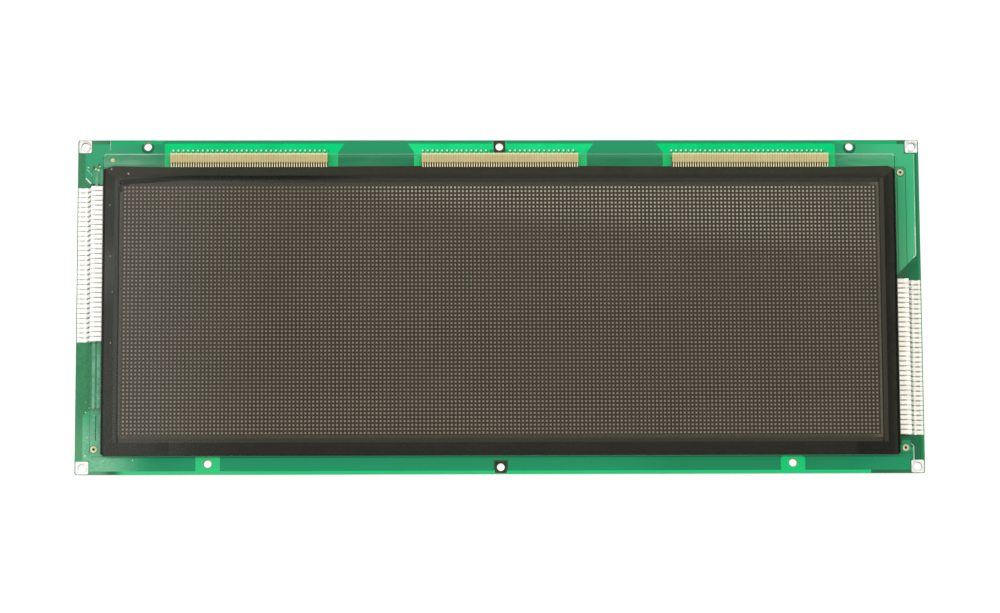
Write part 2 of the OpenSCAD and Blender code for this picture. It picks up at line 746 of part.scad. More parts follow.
// One stamped lead of the right strip: a clip over the rear plate's edge, a sloping leg and a foot
module row_lead() {
    edge = rear_half_w;
    wall_x = edge + clip_clearance + lead_t / 2;
    upper = rear_front + lead_t / 2;
    lower = rear_back - lead_t / 2;
    foot = land_top + lead_t / 2;
    shoulder = edge - shoulder_length;
    heel = edge + heel_reach;
    toe = edge + toe_reach;
    knee = [wall_x, lower] + ([heel, foot] - [wall_x, lower]) * knee_share;
    translate([0, -row_jog, 0]) {
        along_y(shoulder_w) polygon(strip_outline(
            [[shoulder, upper], [wall_x, upper], [wall_x, lower], [edge - row_clip_back, lower]], lead_t));
        along_y(shoulder_w) polygon(strip_outline([[wall_x, lower], knee], lead_t));
        along_y(row_lead_w)
            area([front_half_w + tine_gap, rear_front], [shoulder + lead_t, rear_front + lead_t]);
    }
    translate([0, -row_jog / 2, 0])
        along_y(row_lead_w) polygon(strip_outline([[wall_x, lower], [heel, foot]], lead_t));
    along_y(row_lead_w) polygon(strip_outline([[heel - lead_t, foot], [toe, foot]], lead_t));
    along_y(shoulder_w) area([heel, land_top], [heel + heel_length, land_top + lead_t]);
    along_y(shoulder_w) area([toe - toe_length, land_top], [toe, land_top + lead_t]);
}

module row_lead_strip(side) {
    color("whitesmoke")
    for (i = [0:row_leads - 1]) translate([0, row_lead_y(side, i), 0])
        if (side > 0) row_lead(); else mirror([1, 0, 0]) row_lead();
}

// Cross-section of a moulded chip body with drafted sides
module chip_section(half_w, low, high, draft) {
    middle = (low + high) / 2;
    polygon([[-half_w + draft, low], [half_w - draft, low], [half_w, middle], [half_w - draft, high],
        [-half_w + draft, high], [-half_w, middle]]);
}

// Square driver chip with leads turned down on all four sides
module driver_chip() {
    half = chip_side / 2;
    corner_cut = chip_side / 14;
    lead_top = (chip_lift + chip_h) / 2;
    first_lead = -(chip_side_leads - 1) / 2 * chip_lead_pitch;
    color("#2b2b2b")
    union() {
        intersection() {
            along_x(chip_side) chip_section(half, chip_lift, chip_h, chip_draft);
            along_y(chip_side) chip_section(half, chip_lift, chip_h, chip_draft);
            linear_extrude(chip_h) polygon([[-half + corner_cut, -half], [half, -half], [half, half],
                [-half, half], [-half, -half + corner_cut]]);
        }
        for (turn = [0:3], i = [0:chip_side_leads - 1]) rotate(90 * turn)
            translate([first_lead + i * chip_lead_pitch - chip_lead_w / 2, half - chip_draft, 0])
                cube([chip_lead_w, chip_lead_out + chip_draft, lead_top]);
    }
}

// Long flat chip with gull-wing leads on two sides
module buffer_chip() {
    half = buffer_w / 2;
    lead_h = buffer_h * 0.45;
    strip = buffer_h / 10;
    draft = chip_draft / 2;
    lead_path = [[half - draft * 3, lead_h], [half + buffer_lead_out * 0.35, lead_h],
        [half + buffer_lead_out * 0.5, strip / 2], [half + buffer_lead_out, strip / 2]];
    color("#303030")
    union() {
        intersection() {
            along_x(buffer_length) chip_section(half, strip, buffer_h, draft);
            along_y(buffer_w) chip_section(buffer_length / 2, strip, buffer_h, draft);
        }
        for (side = [0, 180], i = [0:buffer_side_leads - 1]) rotate(side)
            translate([(i - (buffer_side_leads - 1) / 2) * chip_lead_pitch, 0, 0])
                along_x(chip_lead_w) polygon(strip_outline(lead_path, strip));
    }
}

// Aluminium can with a rolled groove near its foot and a domed end
module capacitor_can() {
    groove = rubber_h + can_r * 0.35;
    edge = can_r * 0.12;
    color("#35507a")
    rotate_extrude() polygon([[0, rubber_h], [can_r - edge, rubber_h], [can_r, rubber_h + edge],
        [can_r, groove - edge], [can_r - edge, groove], [can_r, groove + edge],
        [can_r, capacitor_h - 2 * edge], [can_r - edge * 0.6, capacitor_h - edge * 0.6],
        [can_r - 2 * edge, capacitor_h], [0, capacitor_h]]);
}

module rubber_seal() {
    color("#222222")
    difference() {
        cylinder(h = rubber_h, r = can_r * 0.8);
        for (side = [-0.5, 0.5]) translate([side * wire_spacing, 0, -through])
            cylinder(h = rubber_h + 2 * through, d = wire_d, $fn = 6);
    }
}

module capacitor_wires() {
    color("silver")
    for (place = wire_places) translate([place[0], place[1], board_back - rubber_h])
        cylinder(h = rubber_h + board_t + solder_end, d = wire_d, $fn = 6);
}

// Base of the data header, nicked between each pair of pins
module data_header() {
    length = data_pins_long * data_pitch;
    nick = data_pitch / 6;
    color("#1c1c1c")
    behind([-data_header_x, header_y]) linear_extrude(data_base_h) difference() {
        square([length, 2 * data_pitch], center = true);
        for (i = [1:data_pins_long - 1], side = [-1, 1])
            translate([(i - data_pins_long / 2) * data_pitch, side * data_pitch])
                rotate(45) square(nick * 1.4, center = true);
        for (i = [0:data_pins_long - 1], row = [-0.5, 0.5])
            translate([(i - (data_pins_long - 1) / 2) * data_pitch, row * data_pitch])
                square(data_pin_w, center = true);
    }
}

// Square pins with cut corners at the free end, through a header's base and the board
module square_pin(place, w, height) {
    point = w * 0.8;
    translate([place[0], place[1], board_front + solder_end]) rotate([180, 0, 0]) {
        linear_extrude(height + board_t + solder_end - point) square(w, center = true);
        intersection() {
            along_x(w) polygon(pin_end(w, height + board_t + solder_end, point));
            along_y(w) polygon(pin_end(w, height + board_t + solder_end, point));
        }
    }
}

function pin_end(w, end, point) =
    [[-w / 2, end - point], [w / 2, end - point], [w / 4, end], [-w / 4, end]];

module data_pins() {
    color("gold")
    for (place = data_pin_places) square_pin(place, data_pin_w, data_pin_h);
}

// Base with a latch wall along one side, nicked for the plug's keys
module power_header() {
    length = power_pin_count * power_pitch;
    half_w = power_base_w / 2;
    hook = latch_t * 0.6;
    color("ivory")
    behind([power_header_x, header_y]) difference() {
        union() {
            linear_extrude(power_base_h) square([length, power_base_w], center = true);
            along_x(length - power_pitch) polygon([[-half_w, 0], [-half_w + latch_t, 0],
                [-half_w + latch_t, latch_h * 0.72], [-half_w + latch_t + hook, latch_h * 0.78],
                [-half_w + latch_t, latch_h], [-half_w, latch_h]]);
        }
        for (i = [0:power_pin_count - 1])
            translate([(i - (power_pin_count - 1) / 2) * power_pitch, 0, -through])
                linear_extrude(power_base_h + 2 * through) square(power_pin_w, center = true);
        for (i = [1:power_pin_count - 1])
            translate([(i - power_pin_count / 2) * power_pitch, half_w, -through])
                linear_extrude(power_base_h + 2 * through) square(power_pitch / 4, center = true);
    }
}

module power_pins() {
    color("silver")
    for (place = power_pin_places) square_pin(place, power_pin_w, power_pin_h);
}

// Body of a chip component, between its two metal ends
module chip_body(places, h) {
    for (place = places) behind(place)
        linear_extrude(h) square([chip_part_length - 2 * chip_end, chip_part_w], center = true);
}

module chip_capacitors() {
    color("tan") chip_body(chip_capacitor_places, chip_capacitor_h);
}

module chip_resistors() {
    color("#252525") chip_body(resistor_places, chip_resistor_h);
}

module chip_ends() {
    color("silver") {
        chip_end_pair(chip_capacitor_places, chip_capacitor_h);
        chip_end_pair(resistor_places, chip_resistor_h);
    }
}

module chip_end_pair(places, h) {
    for (place = places, side = [-1, 1]) behind(place + [side * (chip_part_length - chip_end) / 2, 0])
        linear_extrude(h) square([chip_end, chip_part_w], center = true);
}

circuit_board();
front_copper();
corner_lands();
middle_lands();
test_eyelets();
tinned_points();
row_lands(-1);  // row_lands_left
row_lands(1);  // row_lands_right
rear_glass();
front_glass();
dark_ground();
cathode_rows();
dot_ribs();
seal_frame();
black_border();
exhaust_tip();
for (i = [1:4]) foam_pad(i - 1);
column_leads(0);  // column_leads_left
column_leads(1);  // column_leads_centre
column_leads(2);  // column_leads_right
row_lead_strip(-1);  // row_leads_left
row_lead_strip(1);  // row_leads_right
for (i = [1:6]) behind(driver_places[i - 1]) driver_chip();
behind(row_driver_places[0]) driver_chip();  // row_driver_left
behind(row_driver_places[1]) driver_chip();  // row_driver_right
for (i = [1:4]) behind(buffer_places[i - 1]) buffer_chip();
for (i = [1:4]) behind(capacitor_places[i - 1]) capacitor_can();
for (i = [1:4]) behind(capacitor_places[i - 1]) rubber_seal();
capacitor_wires();
data_header();
data_pins();
power_header();
power_pins();
chip_capacitors();
chip_resistors();
chip_ends();
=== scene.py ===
# Looks of a gas-plasma dot matrix display module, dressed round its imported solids
import json
import math

import bmesh
import bpy
from mathutils import Matrix, Vector

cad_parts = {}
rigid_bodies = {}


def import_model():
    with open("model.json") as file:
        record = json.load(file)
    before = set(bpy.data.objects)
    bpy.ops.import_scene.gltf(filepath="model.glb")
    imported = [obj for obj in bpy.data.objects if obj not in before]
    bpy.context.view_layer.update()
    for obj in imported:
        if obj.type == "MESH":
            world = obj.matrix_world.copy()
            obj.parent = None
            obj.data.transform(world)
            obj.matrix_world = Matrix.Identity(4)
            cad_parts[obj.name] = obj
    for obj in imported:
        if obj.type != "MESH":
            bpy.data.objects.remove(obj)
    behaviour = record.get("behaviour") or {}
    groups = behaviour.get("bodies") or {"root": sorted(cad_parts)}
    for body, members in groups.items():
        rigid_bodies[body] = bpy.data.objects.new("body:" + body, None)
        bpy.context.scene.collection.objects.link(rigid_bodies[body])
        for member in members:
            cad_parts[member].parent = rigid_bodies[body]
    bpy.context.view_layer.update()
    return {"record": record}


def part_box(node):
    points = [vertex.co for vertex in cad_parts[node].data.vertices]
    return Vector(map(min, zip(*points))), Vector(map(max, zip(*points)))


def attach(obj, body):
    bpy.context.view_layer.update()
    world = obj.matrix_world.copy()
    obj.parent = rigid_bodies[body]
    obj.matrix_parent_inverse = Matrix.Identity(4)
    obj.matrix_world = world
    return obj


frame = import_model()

MM_PER_M = 1000.0
MM = 1 / MM_PER_M


def span(node):
    """Lowest and highest corner of a CAD node, in millimetres."""
    low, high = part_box(node)
    return low * MM_PER_M, high * MM_PER_M


def centre(node):
    """Middle of a CAD node's box, in millimetres."""
    low, high = span(node)
    return (low + high) / 2


# Levels and places of the solids, in millimetres
BOARD_BACK, BOARD_FRONT = (corner.z for corner in span("circuit_board"))
REAR_PLATE_FRONT = span("rear_glass")[1].z
FRONT_PLATE_BACK = span("front_glass")[0].z
MATRIX_Y = centre("cathode_rows").y
COMB_STEP = centre("column_leads_right").x
COMB_XS = (-COMB_STEP, 0.0, COMB_STEP)
LEAD_PITCH = 1.27
LEGS_PER_COMB = 64
LEG_ROWS = (77.7, 80.24)
POINTS_Y = 81.75
COMB_HALF = 40.6
ROW_LEADS = 32
ROW_PITCH = 2.54
ROW_JOG = 1.0
UPPER_HOLE, LOWER_HOLE, HOLE_RIM_R = (183.4, 84.15), (151.2, -82.15), 2.35
CORNER_HOLE = (215.9, 84.15)
EYELET_X, EYELET_YS = 209.9, (70.35, -74.55)

# Driver chips: the second one serves the right half of the left comb
DRIVER_LOW, DRIVER_HIGH = span("column_driver_2")
DRIVER_Y = centre("column_driver_2").y
DRIVER_OFFSET = centre("column_driver_2").x + COMB_STEP
CHIP_HALF = (DRIVER_HIGH.x - DRIVER_LOW.x) / 2
CHIP_LEADS = 11
LAST_PIN = (CHIP_LEADS - 1) / 2

# Patches of the board's front, in millimetres: low x, low y, high x, high y
TOP_STRIPS = ((-202.8, 85.3, -174.3, 87.2), (174.6, 85.3, 208.3, 87.2))
BOTTOM_STRIP = (-202, -87.6, 191.6, -85.7)
# A painted shadow band at the upper left, between the copper and the ledge's traces
LEFT_SHADOW_BAND = (-213.0, 62.3, -205.0, 64.6)
RIGHT_GAP = (203.5, 14.5, 209.8, 25.0)
RIGHT_WINDOW = (208.0, -79.0, 212.3, -70.5)
FLUX_SPECKS = (-215.2, -79, -208, -50)
RIGHT_DARK_LINE = (207.9, 4, 208.5, 68)
LEFT_DARK_LINE = (-209.4, -70, -208.75, -57)
PLATE_SHADE = (-205.7, 62.5, -203.8, 71.8)

# Light windows in the board's dark front, in millimetres: at the combs, at the lower holes, at the middle
COMB_WINDOW_HALF, COMB_WINDOW_YS = 49.4, (60, 86.4)
LOWER_WINDOW_XS, LOWER_WINDOW_TOP = (144.4, 158.0), -77.5
MIDDLE_WINDOW_HALF, MIDDLE_WINDOW_YS = 12.5, (-79.8, -77.5)

# The light island round the lower right hole, in millimetres: half its width, the rise of its top
# over the hole's middle, and the radius of its corners
ISLAND_HALF, ISLAND_RISE, ISLAND_R = 6.3, 4.0, 2.6

GLASS_IOR = 1.5


# Finishes

class Value:
    """A socket of a finish; sums and products of sockets add Math nodes."""

    def __init__(self, finish, socket):
        self.finish, self.socket = finish, socket

    def math(self, operation, first, second=0.0):
        return self.finish.node("Math", {"operation": operation}, {0: first, 1: second})

    def __add__(self, other):
        return self.math("ADD", self, other)

    def __radd__(self, other):
        return self.math("ADD", other, self)

    def __sub__(self, other):
        return self.math("SUBTRACT", self, other)

    def __rsub__(self, other):
        return self.math("SUBTRACT", other, self)

    def __mul__(self, other):
        return self.math("MULTIPLY", self, other)

    def __rmul__(self, other):
        return self.math("MULTIPLY", other, self)

    def __truediv__(self, other):
        return self.math("DIVIDE", self, other)

    def __gt__(self, other):
        return self.math("GREATER_THAN", self, other)

    def __lt__(self, other):
        return self.math("LESS_THAN", self, other)

    def __or__(self, other):
        """The greater of two values: where masks are joined."""
        return self.math("MAXIMUM", self, other)

    def __and__(self, other):
        """The lesser of two values."""
        return self.math("MINIMUM", self, other)

    def __abs__(self):
        return self.math("ABSOLUTE", self)

    def floored(self):
        return self.math("FLOOR", self)

    def root(self):
        return self.math("SQRT", self)

    def wrapped(self, length):
        """The value less whole multiples of a length, from 0 up to that length."""
        return self.math("FLOORED_MODULO", self, length)


class Nodes:
    """Nodes of a material or a world, with the places and masks that they are built from."""

    def __init__(self, block, output, coordinates, scale=1.0):
        block.use_nodes = True
        self.tree = block.node_tree
        self.tree.nodes.clear()
        self.out = self.tree.nodes.new("ShaderNode" + output)
        self.place = self.node("TexCoord", {}, {}, coordinates)
        self.x, self.y, self.z = (self.node("SeparateXYZ", {}, {0: self.place}, axis) * scale
                                  for axis in "XYZ")

    def node(self, kind, settings, values, output=0):
        """Any node: its settings come first, then the values or links of its sockets."""
        made = self.tree.nodes.new("ShaderNode" + kind)
        for key, value in settings.items():
            setattr(made, key, value)
        for key, value in values.items():
            if isinstance(value, Value):
                self.tree.links.new(value.socket, made.inputs[key])
            else:
                made.inputs[key].default_value = value
        return Value(self, made.outputs[output])

    def level(self, value, low, high, to_low=0.0, to_high=1.0):
        """A value spread smoothly from one range to another and held at its ends."""
        return self.node("MapRange", {"interpolation_type": "SMOOTHSTEP"}, {
            "Value": value, "From Min": low, "From Max": high, "To Min": to_low, "To Max": to_high})

    def mix(self, factor, first, second):
        first, second = (c if isinstance(c, Value) else (*c, 1.0) for c in (first, second))
        return self.node("Mix", {"data_type": "RGBA"}, {0: factor, 6: first, 7: second}, 2)

    def shade(self, shader):
        self.tree.links.new(shader.socket, self.out.inputs["Surface"])


class Finish(Nodes):
    """A material for one kind of surface, with its places in millimetres."""

    def __init__(self, name):
        self.material = bpy.data.materials.new(name)
        super().__init__(self.material, "OutputMaterial", "Object", MM_PER_M)

    def noise(self, size_mm, detail=3.0, stretch=(1.0, 1.0, 1.0)):
        """Mottling whose features are about a given number of millimetres across."""
        place = self.node("Mapping", {}, {"Vector": self.place, "Scale": stretch})
        return self.node("TexNoise", {}, {
            "Vector": place, "Scale": MM_PER_M / size_mm, "Detail": detail, "Roughness": 0.55}, "Fac")

    def cells(self, size_mm):
        """Distance from the middle of the nearest of many scattered cells."""
        return self.node("TexVoronoi", {"feature": "F1"}, {
            "Vector": self.place, "Scale": MM_PER_M / size_mm}, "Distance")

    def upward(self):
        """1 on faces that look up, -1 on those that look down, 0 on upright ones."""
        return self.node("SeparateXYZ", {}, {0: self.node("NewGeometry", {}, {}, "Normal")}, "Z")

    def within(self, value, limit, soft=0.1):
        """1 below a limit, 0 beyond it, with a soft step between."""
        return self.level(value, limit + soft, limit - soft)

    def band(self, value, low, high, soft=0.15):
        """1 between two limits, 0 outside, with a soft step at each."""
        return self.level(value, low - soft, low + soft) * self.within(value, high, soft)

    def box(self, patch, soft=0.15):
        """1 inside a patch given by its low x, low y, high x and high y."""
        low_x, low_y, high_x, high_y = patch
        return self.band(self.x, low_x, high_x, soft) * self.band(self.y, low_y, high_y, soft)

    def disc(self, across, up, radius, soft=0.15):
        """1 where two offsets lie within a radius, 0 beyond it."""
        return self.level(across * across + up * up, (radius + soft) ** 2, (radius - soft) ** 2)

    def spot(self, x, y, radius, soft=0.15):
        """1 inside a circle about an upright axis, 0 outside."""
        return self.disc(self.x - x, self.y - y, radius, soft)

    def patchy(self, value, first, second, low=0.35, high=0.65):
        """Two colours in patches, as a mottled value goes from low to high."""
        return self.mix(self.level(value, low, high), first, second)

    def layered(self, colour, layers):
        """A colour with others laid over it in turn, each through its mask."""
        for mask, over in layers:
            colour = self.mix(mask, colour, over)
        return colour

    def rough(self, value, low, high):
        """Roughness between two levels, from a mottled value."""
        return self.level(value, 0.3, 0.7, low, high)

    def bump(self, height, distance_mm):
        return self.node("Bump", {}, {"Height": height, "Distance": distance_mm * MM, "Strength": 1.0})

    def surface(self, colour, roughness, normal, metallic=0.0, specular=0.5):
        """Closes the finish with the Principled shader, and gives its material."""
        self.shade(self.node("BsdfPrincipled", {}, {
            "Base Color": colour, "Roughness": roughness, "Normal": normal, "Metallic": metallic,
            "Specular IOR Level": specular}))
        return self.material


def tone(red, green, blue):
    """Linear colour of a screen colour given from 0 to 255."""
    return tuple(((c / 255 + 0.055) / 1.055) ** 2.4 if c > 10 else c / 255 / 12.92
                 for c in (red, green, blue))


def point_shadows(f, comb_x):
    """Painted shadows round the tinned points of one comb: darker rings a little to the right of their
    middles.
    """
    shift = 0.25
    first = comb_x - (LEGS_PER_COMB - 1) / 2 * LEAD_PITCH + shift
    across = (f.x - (first - LEAD_PITCH)).wrapped(2 * LEAD_PITCH) - LEAD_PITCH
    return f.disc(across, f.y - POINTS_Y, 0.975, 0.175) * f.within(abs(f.x - comb_x), COMB_HALF + 0.3)


def island_corners(f):
    """1 outside the round corners of the light island at the lower right hole."""
    out = abs(abs(f.x) - LOWER_HOLE[0]) - (ISLAND_HALF - ISLAND_R)
    up = f.y - LOWER_HOLE[1] - (ISLAND_RISE - ISLAND_R)
    corner = (out > 0) * (up > 0) * (1 - f.disc(out, up, ISLAND_R)) * (f.x > 0)
    above = f.level(up, ISLAND_R - 0.15, ISLAND_R + 0.15)
    beside = f.level(out, ISLAND_R + 1.1, ISLAND_R + 1.0) * f.level(f.y, -73.0, -73.2)
    return (corner | above) * beside


def hole_rim(f, hole):
    """1 over an open hole and its rim, at the left and at the right."""
    across, up = abs(f.x) - hole[0], f.y - hole[1]
    return f.within((across * across + up * up).root(), HOLE_RIM_R)


def flux_specks(f, cloud):
    """Small pale specks at the lower left, thicker in some places than in others."""
    return f.level(f.cells(2.2), 0.2, 0.12) * f.box(FLUX_SPECKS, 1.0) * f.level(cloud, 0.4, 0.6)


def board_finish():
    """Green mask: bright where light comes through the bare laminate, dark over the rear copper."""
    f = Finish("board_mask")
    cloud, fine, front = f.noise(9.0), f.noise(1.3, detail=5.0), f.upward()
    bare_x = sum(f.within(abs(f.x - comb_x), COMB_WINDOW_HALF) for comb_x in COMB_XS)
    # Painted shadows round the tinned points
    rings = sum(point_shadows(f, comb_x) for comb_x in COMB_XS)
    top_strips = f.box(TOP_STRIPS[0]) | f.box(TOP_STRIPS[1])
    lower = (f.level(f.x, -201, -193) * f.box(BOTTOM_STRIP)
             + f.band(abs(f.x), *LOWER_WINDOW_XS) * f.within(f.y, LOWER_WINDOW_TOP, 0.5))
    below_middle = f.within(abs(f.x), MIDDLE_WINDOW_HALF, 0.5) * f.band(f.y, *MIDDLE_WINDOW_YS)
    bare = f.band(f.y, *COMB_WINDOW_YS, 0.1) * bare_x
    light = (bare | top_strips | lower | below_middle) * (front > 0.5)

    left = f.level(f.x, -200, -208)
    dark = f.layered(f.patchy(cloud, tone(42, 112, 74), tone(36, 106, 70)), (
        (left, f.patchy(fine, tone(65, 131, 92), tone(56, 123, 84))),
        # Painted sheen: paler towards the lower left
        (left * f.level(f.y, -50, -75), tone(86, 150, 108)),
        # Painted shadow band at the upper left
        (f.box(LEFT_SHADOW_BAND, 0.3), tone(24, 74, 56)),
        (f.box(RIGHT_GAP, 0.4), tone(66, 108, 72)),
        (f.box(RIGHT_WINDOW, 0.4), tone(48, 158, 106)),
        (f.level(f.x, 217.6, 219.4), tone(48, 140, 92)),
        (bare_x * f.level(f.y, 85.9, 86.2), tone(44, 154, 102)),
        (flux_specks(f, cloud), tone(206, 208, 168))))
    bright = f.layered(f.patchy(cloud, tone(4, 206, 120), tone(2, 196, 110), 0.35, 0.7), (
        # Painted light: the window of the middle comb is made lighter
        (f.level(abs(f.x), 75, 55), f.patchy(cloud, tone(24, 214, 127), tone(16, 204, 118), 0.35, 0.7)),
        # Painted shadows round the tinned points
        (rings, tone(4, 150, 88)),
        (top_strips, tone(24, 168, 104)),
        (lower, f.mix(f.level(f.x, -120, -150), tone(30, 198, 116), tone(54, 198, 122)))))
    rear = f.patchy(cloud, tone(28, 116, 71), tone(32, 123, 76), 0.3, 0.7)
    edge = f.band(f.z, BOARD_BACK + 0.08, BOARD_FRONT - 0.08, 0.04) * (abs(front) < 0.5)
    laminate = f.patchy(f.noise(0.8, stretch=(1, 1, 5)), tone(150, 128, 74), tone(118, 112, 58), 0.4, 0.6)
    colour = f.layered(f.mix(light, dark, bright), (
        (front < -0.5, rear),
        (edge, laminate),
        ((hole_rim(f, UPPER_HOLE) | hole_rim(f, LOWER_HOLE)) * 0.8, tone(150, 104, 56)),
        (island_corners(f) * (front > 0.5), tone(40, 140, 96))))

    weave_x, weave_y = (
        f.node("TexWave", {"bands_direction": axis}, {"Vector": f.place, "Scale": 260.0, "Distortion": 1.5})
        for axis in "XY")
    weave = weave_x + weave_y
    return f.surface(colour, f.rough(f.noise(14.0), 0.08, 0.13) + edge * 0.5,
                     f.bump(weave * 0.5 + cloud * 0.5, 0.004), specular=0.15)


def copper_finish():
    """Green mask over copper: bluer and duller, with the pits and scores of a handled board, with painted
    light that makes it lighter towards its ends and along its right side, and a painted sheen at its lower
    left.
    """
    f = Finish("masked_copper")
    cloud, fine = f.noise(16.0), f.noise(1.2, detail=5.0)
    rightward = f.level(f.x, -10, 10)
    bottom = f.level(f.y, -76, -78)
    # Painted light: lighter towards both ends, least at the lower right
    ends = f.level(abs(f.x), 160, 205) * (1 - f.level(f.y, -74, -77) * rightward * 0.8)
    # Painted sheen: a pale mottled haze at the lower left
    sheen_patch = f.level(f.x, -180, -207) * f.level(f.y, -50, -70)
    pale_haze = sheen_patch * f.level(cloud * 0.5 + fine * 0.5, 0.36, 0.6, 0.5, 1.0)
    hole_gap = f.disc(abs(f.x) - UPPER_HOLE[0], f.y - UPPER_HOLE[1] + 0.5, 3.3, 0.2)
    dark_lines = f.box(RIGHT_DARK_LINE) * 0.7 | f.box(LEFT_DARK_LINE)
    darker = dark_lines | hole_gap | f.box(PLATE_SHADE, 0.3) * 0.8
    flux = f.spot(-211.4, 73.3, 0.7) | f.spot(-208.6, 74.7, 0.5)
    colour = f.layered(f.patchy(cloud, tone(28, 134, 92), tone(24, 127, 87), 0.3, 0.7), (
        # Painted light towards the ends, stronger at the right
        (ends, f.mix(rightward, tone(54, 154, 110), tone(66, 176, 123))),
        (f.level(fine, 0.62, 0.75) * 0.35, tone(60, 170, 118)),
        ((bottom | f.level(f.y, 77.5, 79)) * f.level(abs(f.x), 185, 160), tone(40, 144, 99)),
        (bottom * f.band(f.x, 75, 180, 20), tone(36, 134, 90)),
        # Painted light along the right side
        (f.level(f.x, 190, 200) * f.band(f.y, -50, 40, 20), tone(82, 178, 127)),
        # Painted sheen at the lower left
        (pale_haze, tone(118, 184, 146)),
        (darker, tone(22, 104, 70)),
        (flux, tone(96, 78, 44)),
        (flux_specks(f, cloud), tone(214, 216, 180))))
    return f.surface(colour, f.rough(cloud, 0.07, 0.12), f.bump(fine, 0.003), specular=0.18)


def edge_trace_finish():
    """Mask over the raised traces of the left ledge."""
    f = Finish("edge_traces")
    cloud = f.noise(3.0)
    colour = f.patchy(cloud, tone(76, 166, 122), tone(112, 186, 148))
    return f.surface(colour, f.rough(cloud, 0.12, 0.2), f.bump(f.noise(1.0), 0.002), specular=0.2)


def rear_trace_finish():
    """Mask over the raised traces of the rear."""
    f = Finish("rear_traces")
    cloud = f.noise(6.0)
    colour = f.mix(cloud, tone(44, 142, 88), tone(60, 160, 104))
    return f.surface(colour, f.rough(cloud, 0.3, 0.42), f.bump(f.noise(1.5), 0.006), specular=0.4)


def tinned_finish(name, light, dark, metal, rough=0.4):
    """Bright tin or solder, clouded with dull grey."""
    f = Finish(name)
    cloud, fine = f.noise(4.8), f.noise(1.2, detail=6.0)
    colour = f.patchy(cloud * 0.6 + fine * 0.4, light, dark, 0.4, 0.66)
    grain = f.bump(fine * 0.5 + cloud * 0.5, 0.03)
    return f.surface(colour, f.rough(fine, rough - 0.08, rough + 0.12), grain, metallic=metal)


def brass_finish():
    """Comb leads: dull straw metal, lighter on the worn tips, with a painted highlight along the fold, each
    a little its own.
    """
    f = Finish("comb_leads")
    fine, cloud = f.noise(0.6, detail=5.0, stretch=(1.0, 0.25, 1.0)), f.noise(12.0)
    lead = (f.x / LEAD_PITCH).floored()
    own = f.node("TexWhiteNoise", {"noise_dimensions": "1D"}, {"W": lead}, "Value")
    colour = f.layered(f.patchy(cloud * 0.6 + fine * 0.4, tone(201, 188, 136), tone(193, 179, 126)), (
        (f.level(own, 0.55, 1.0) * 0.15, tone(214, 203, 160)),
        # Painted highlight along the fold
        (f.band(f.y, 76.9, 77.9, 0.25) * 0.75, tone(232, 224, 184)),
        (f.level(f.y, 74.0, 73.6) * 0.7, tone(198, 184, 134)),
        (f.level(f.y, 72.4, 71.9), tone(236, 226, 182))))
    return f.surface(colour, f.rough(fine, 0.5, 0.62), f.bump(fine, 0.02), metallic=0.06)


def glass_finish(name, tint, smear_and_sheen, edge, top_edge):
    """Clear plate: see-through, with Fresnel gloss, ground edges that glow faintly as painted light, and
    dried smears along its top.
    """
    f = Finish(name)
    # Rays pass straight through the plate, so its inner faces reflect as its outer ones do
    inner = f.node("NewGeometry", {}, {}, "Backfacing")
    gloss = f.node("Fresnel", {}, {"IOR": GLASS_IOR - inner * (GLASS_IOR - 1 / GLASS_IOR)})
    facing = abs(f.upward())
    streak = f.noise(7.0, detail=4.0, stretch=(0.25, 1.6, 1.0))
    ends = f.level(abs(f.x), 172.0, 178.0)
    ledge = f.level(f.y, 70.5, 72.5) * (ends * 0.85 + 0.15)
    side = f.level(facing, 0.6, 0.4)
    film = f.level(streak, 0.5, 0.75) * ledge * smear_and_sheen + side * 0.7
    clear = f.node("BsdfTransparent", {}, {"Color": (*tint, 1.0)})
    shine = f.node("BsdfPrincipled", {}, {
        "Base Color": (0.9, 0.93, 0.92, 1.0), "Metallic": 1.0, "Roughness": 0.04})
    at_top = f.level(f.y, 76.0, 77.0)
    frost_and_glow = f.mix(at_top, edge, top_edge)
    frosted_and_glowing = side * (1 - at_top * 0.75) | side * ends
    # The film's shader: smears, and ground edges that glow faintly as painted light
    pale_haze = f.node("BsdfPrincipled", {}, {
        "Base Color": f.mix(frosted_and_glowing, tone(222, 228, 224), frost_and_glow), "Roughness": 0.7,
        "Emission Color": f.mix(frosted_and_glowing, (0.0, 0.0, 0.0), frost_and_glow), "Emission Strength": 0.5})
    body = f.node("MixShader", {}, {0: gloss * f.level(facing, 0.4, 0.6), 1: clear, 2: shine})
    f.shade(f.node("MixShader", {}, {0: film, 1: body, 2: pale_haze}))
    return f.material


def print_finish(name, light, dark, grain_mm=1.6):
    """Matt print or frit, mottled at the scale of its screen."""
    f = Finish(name)
    fine, cloud = f.noise(grain_mm, detail=5.0), f.noise(26.0)
    colour = f.patchy(fine * 0.5 + cloud * 0.5, dark, light, 0.4, 0.62)
    return f.surface(colour, f.rough(fine, 0.54, 0.7), f.bump(fine, 0.003), specular=0.08)


def painted_shadow_line(f):
    """Painted shadow line through seal and border at the upper left, rising to the right."""
    middle = f.level(f.x, -200, -160, 63.0, 65.4)
    half_width = f.level(f.x, -196, -165, 1.5, 1.1)
    length = f.level(f.x, -198, -196.5) * f.level(f.x, -60, -105)
    return f.level(abs(f.y - middle) - half_width, 0.25, -0.25) * length


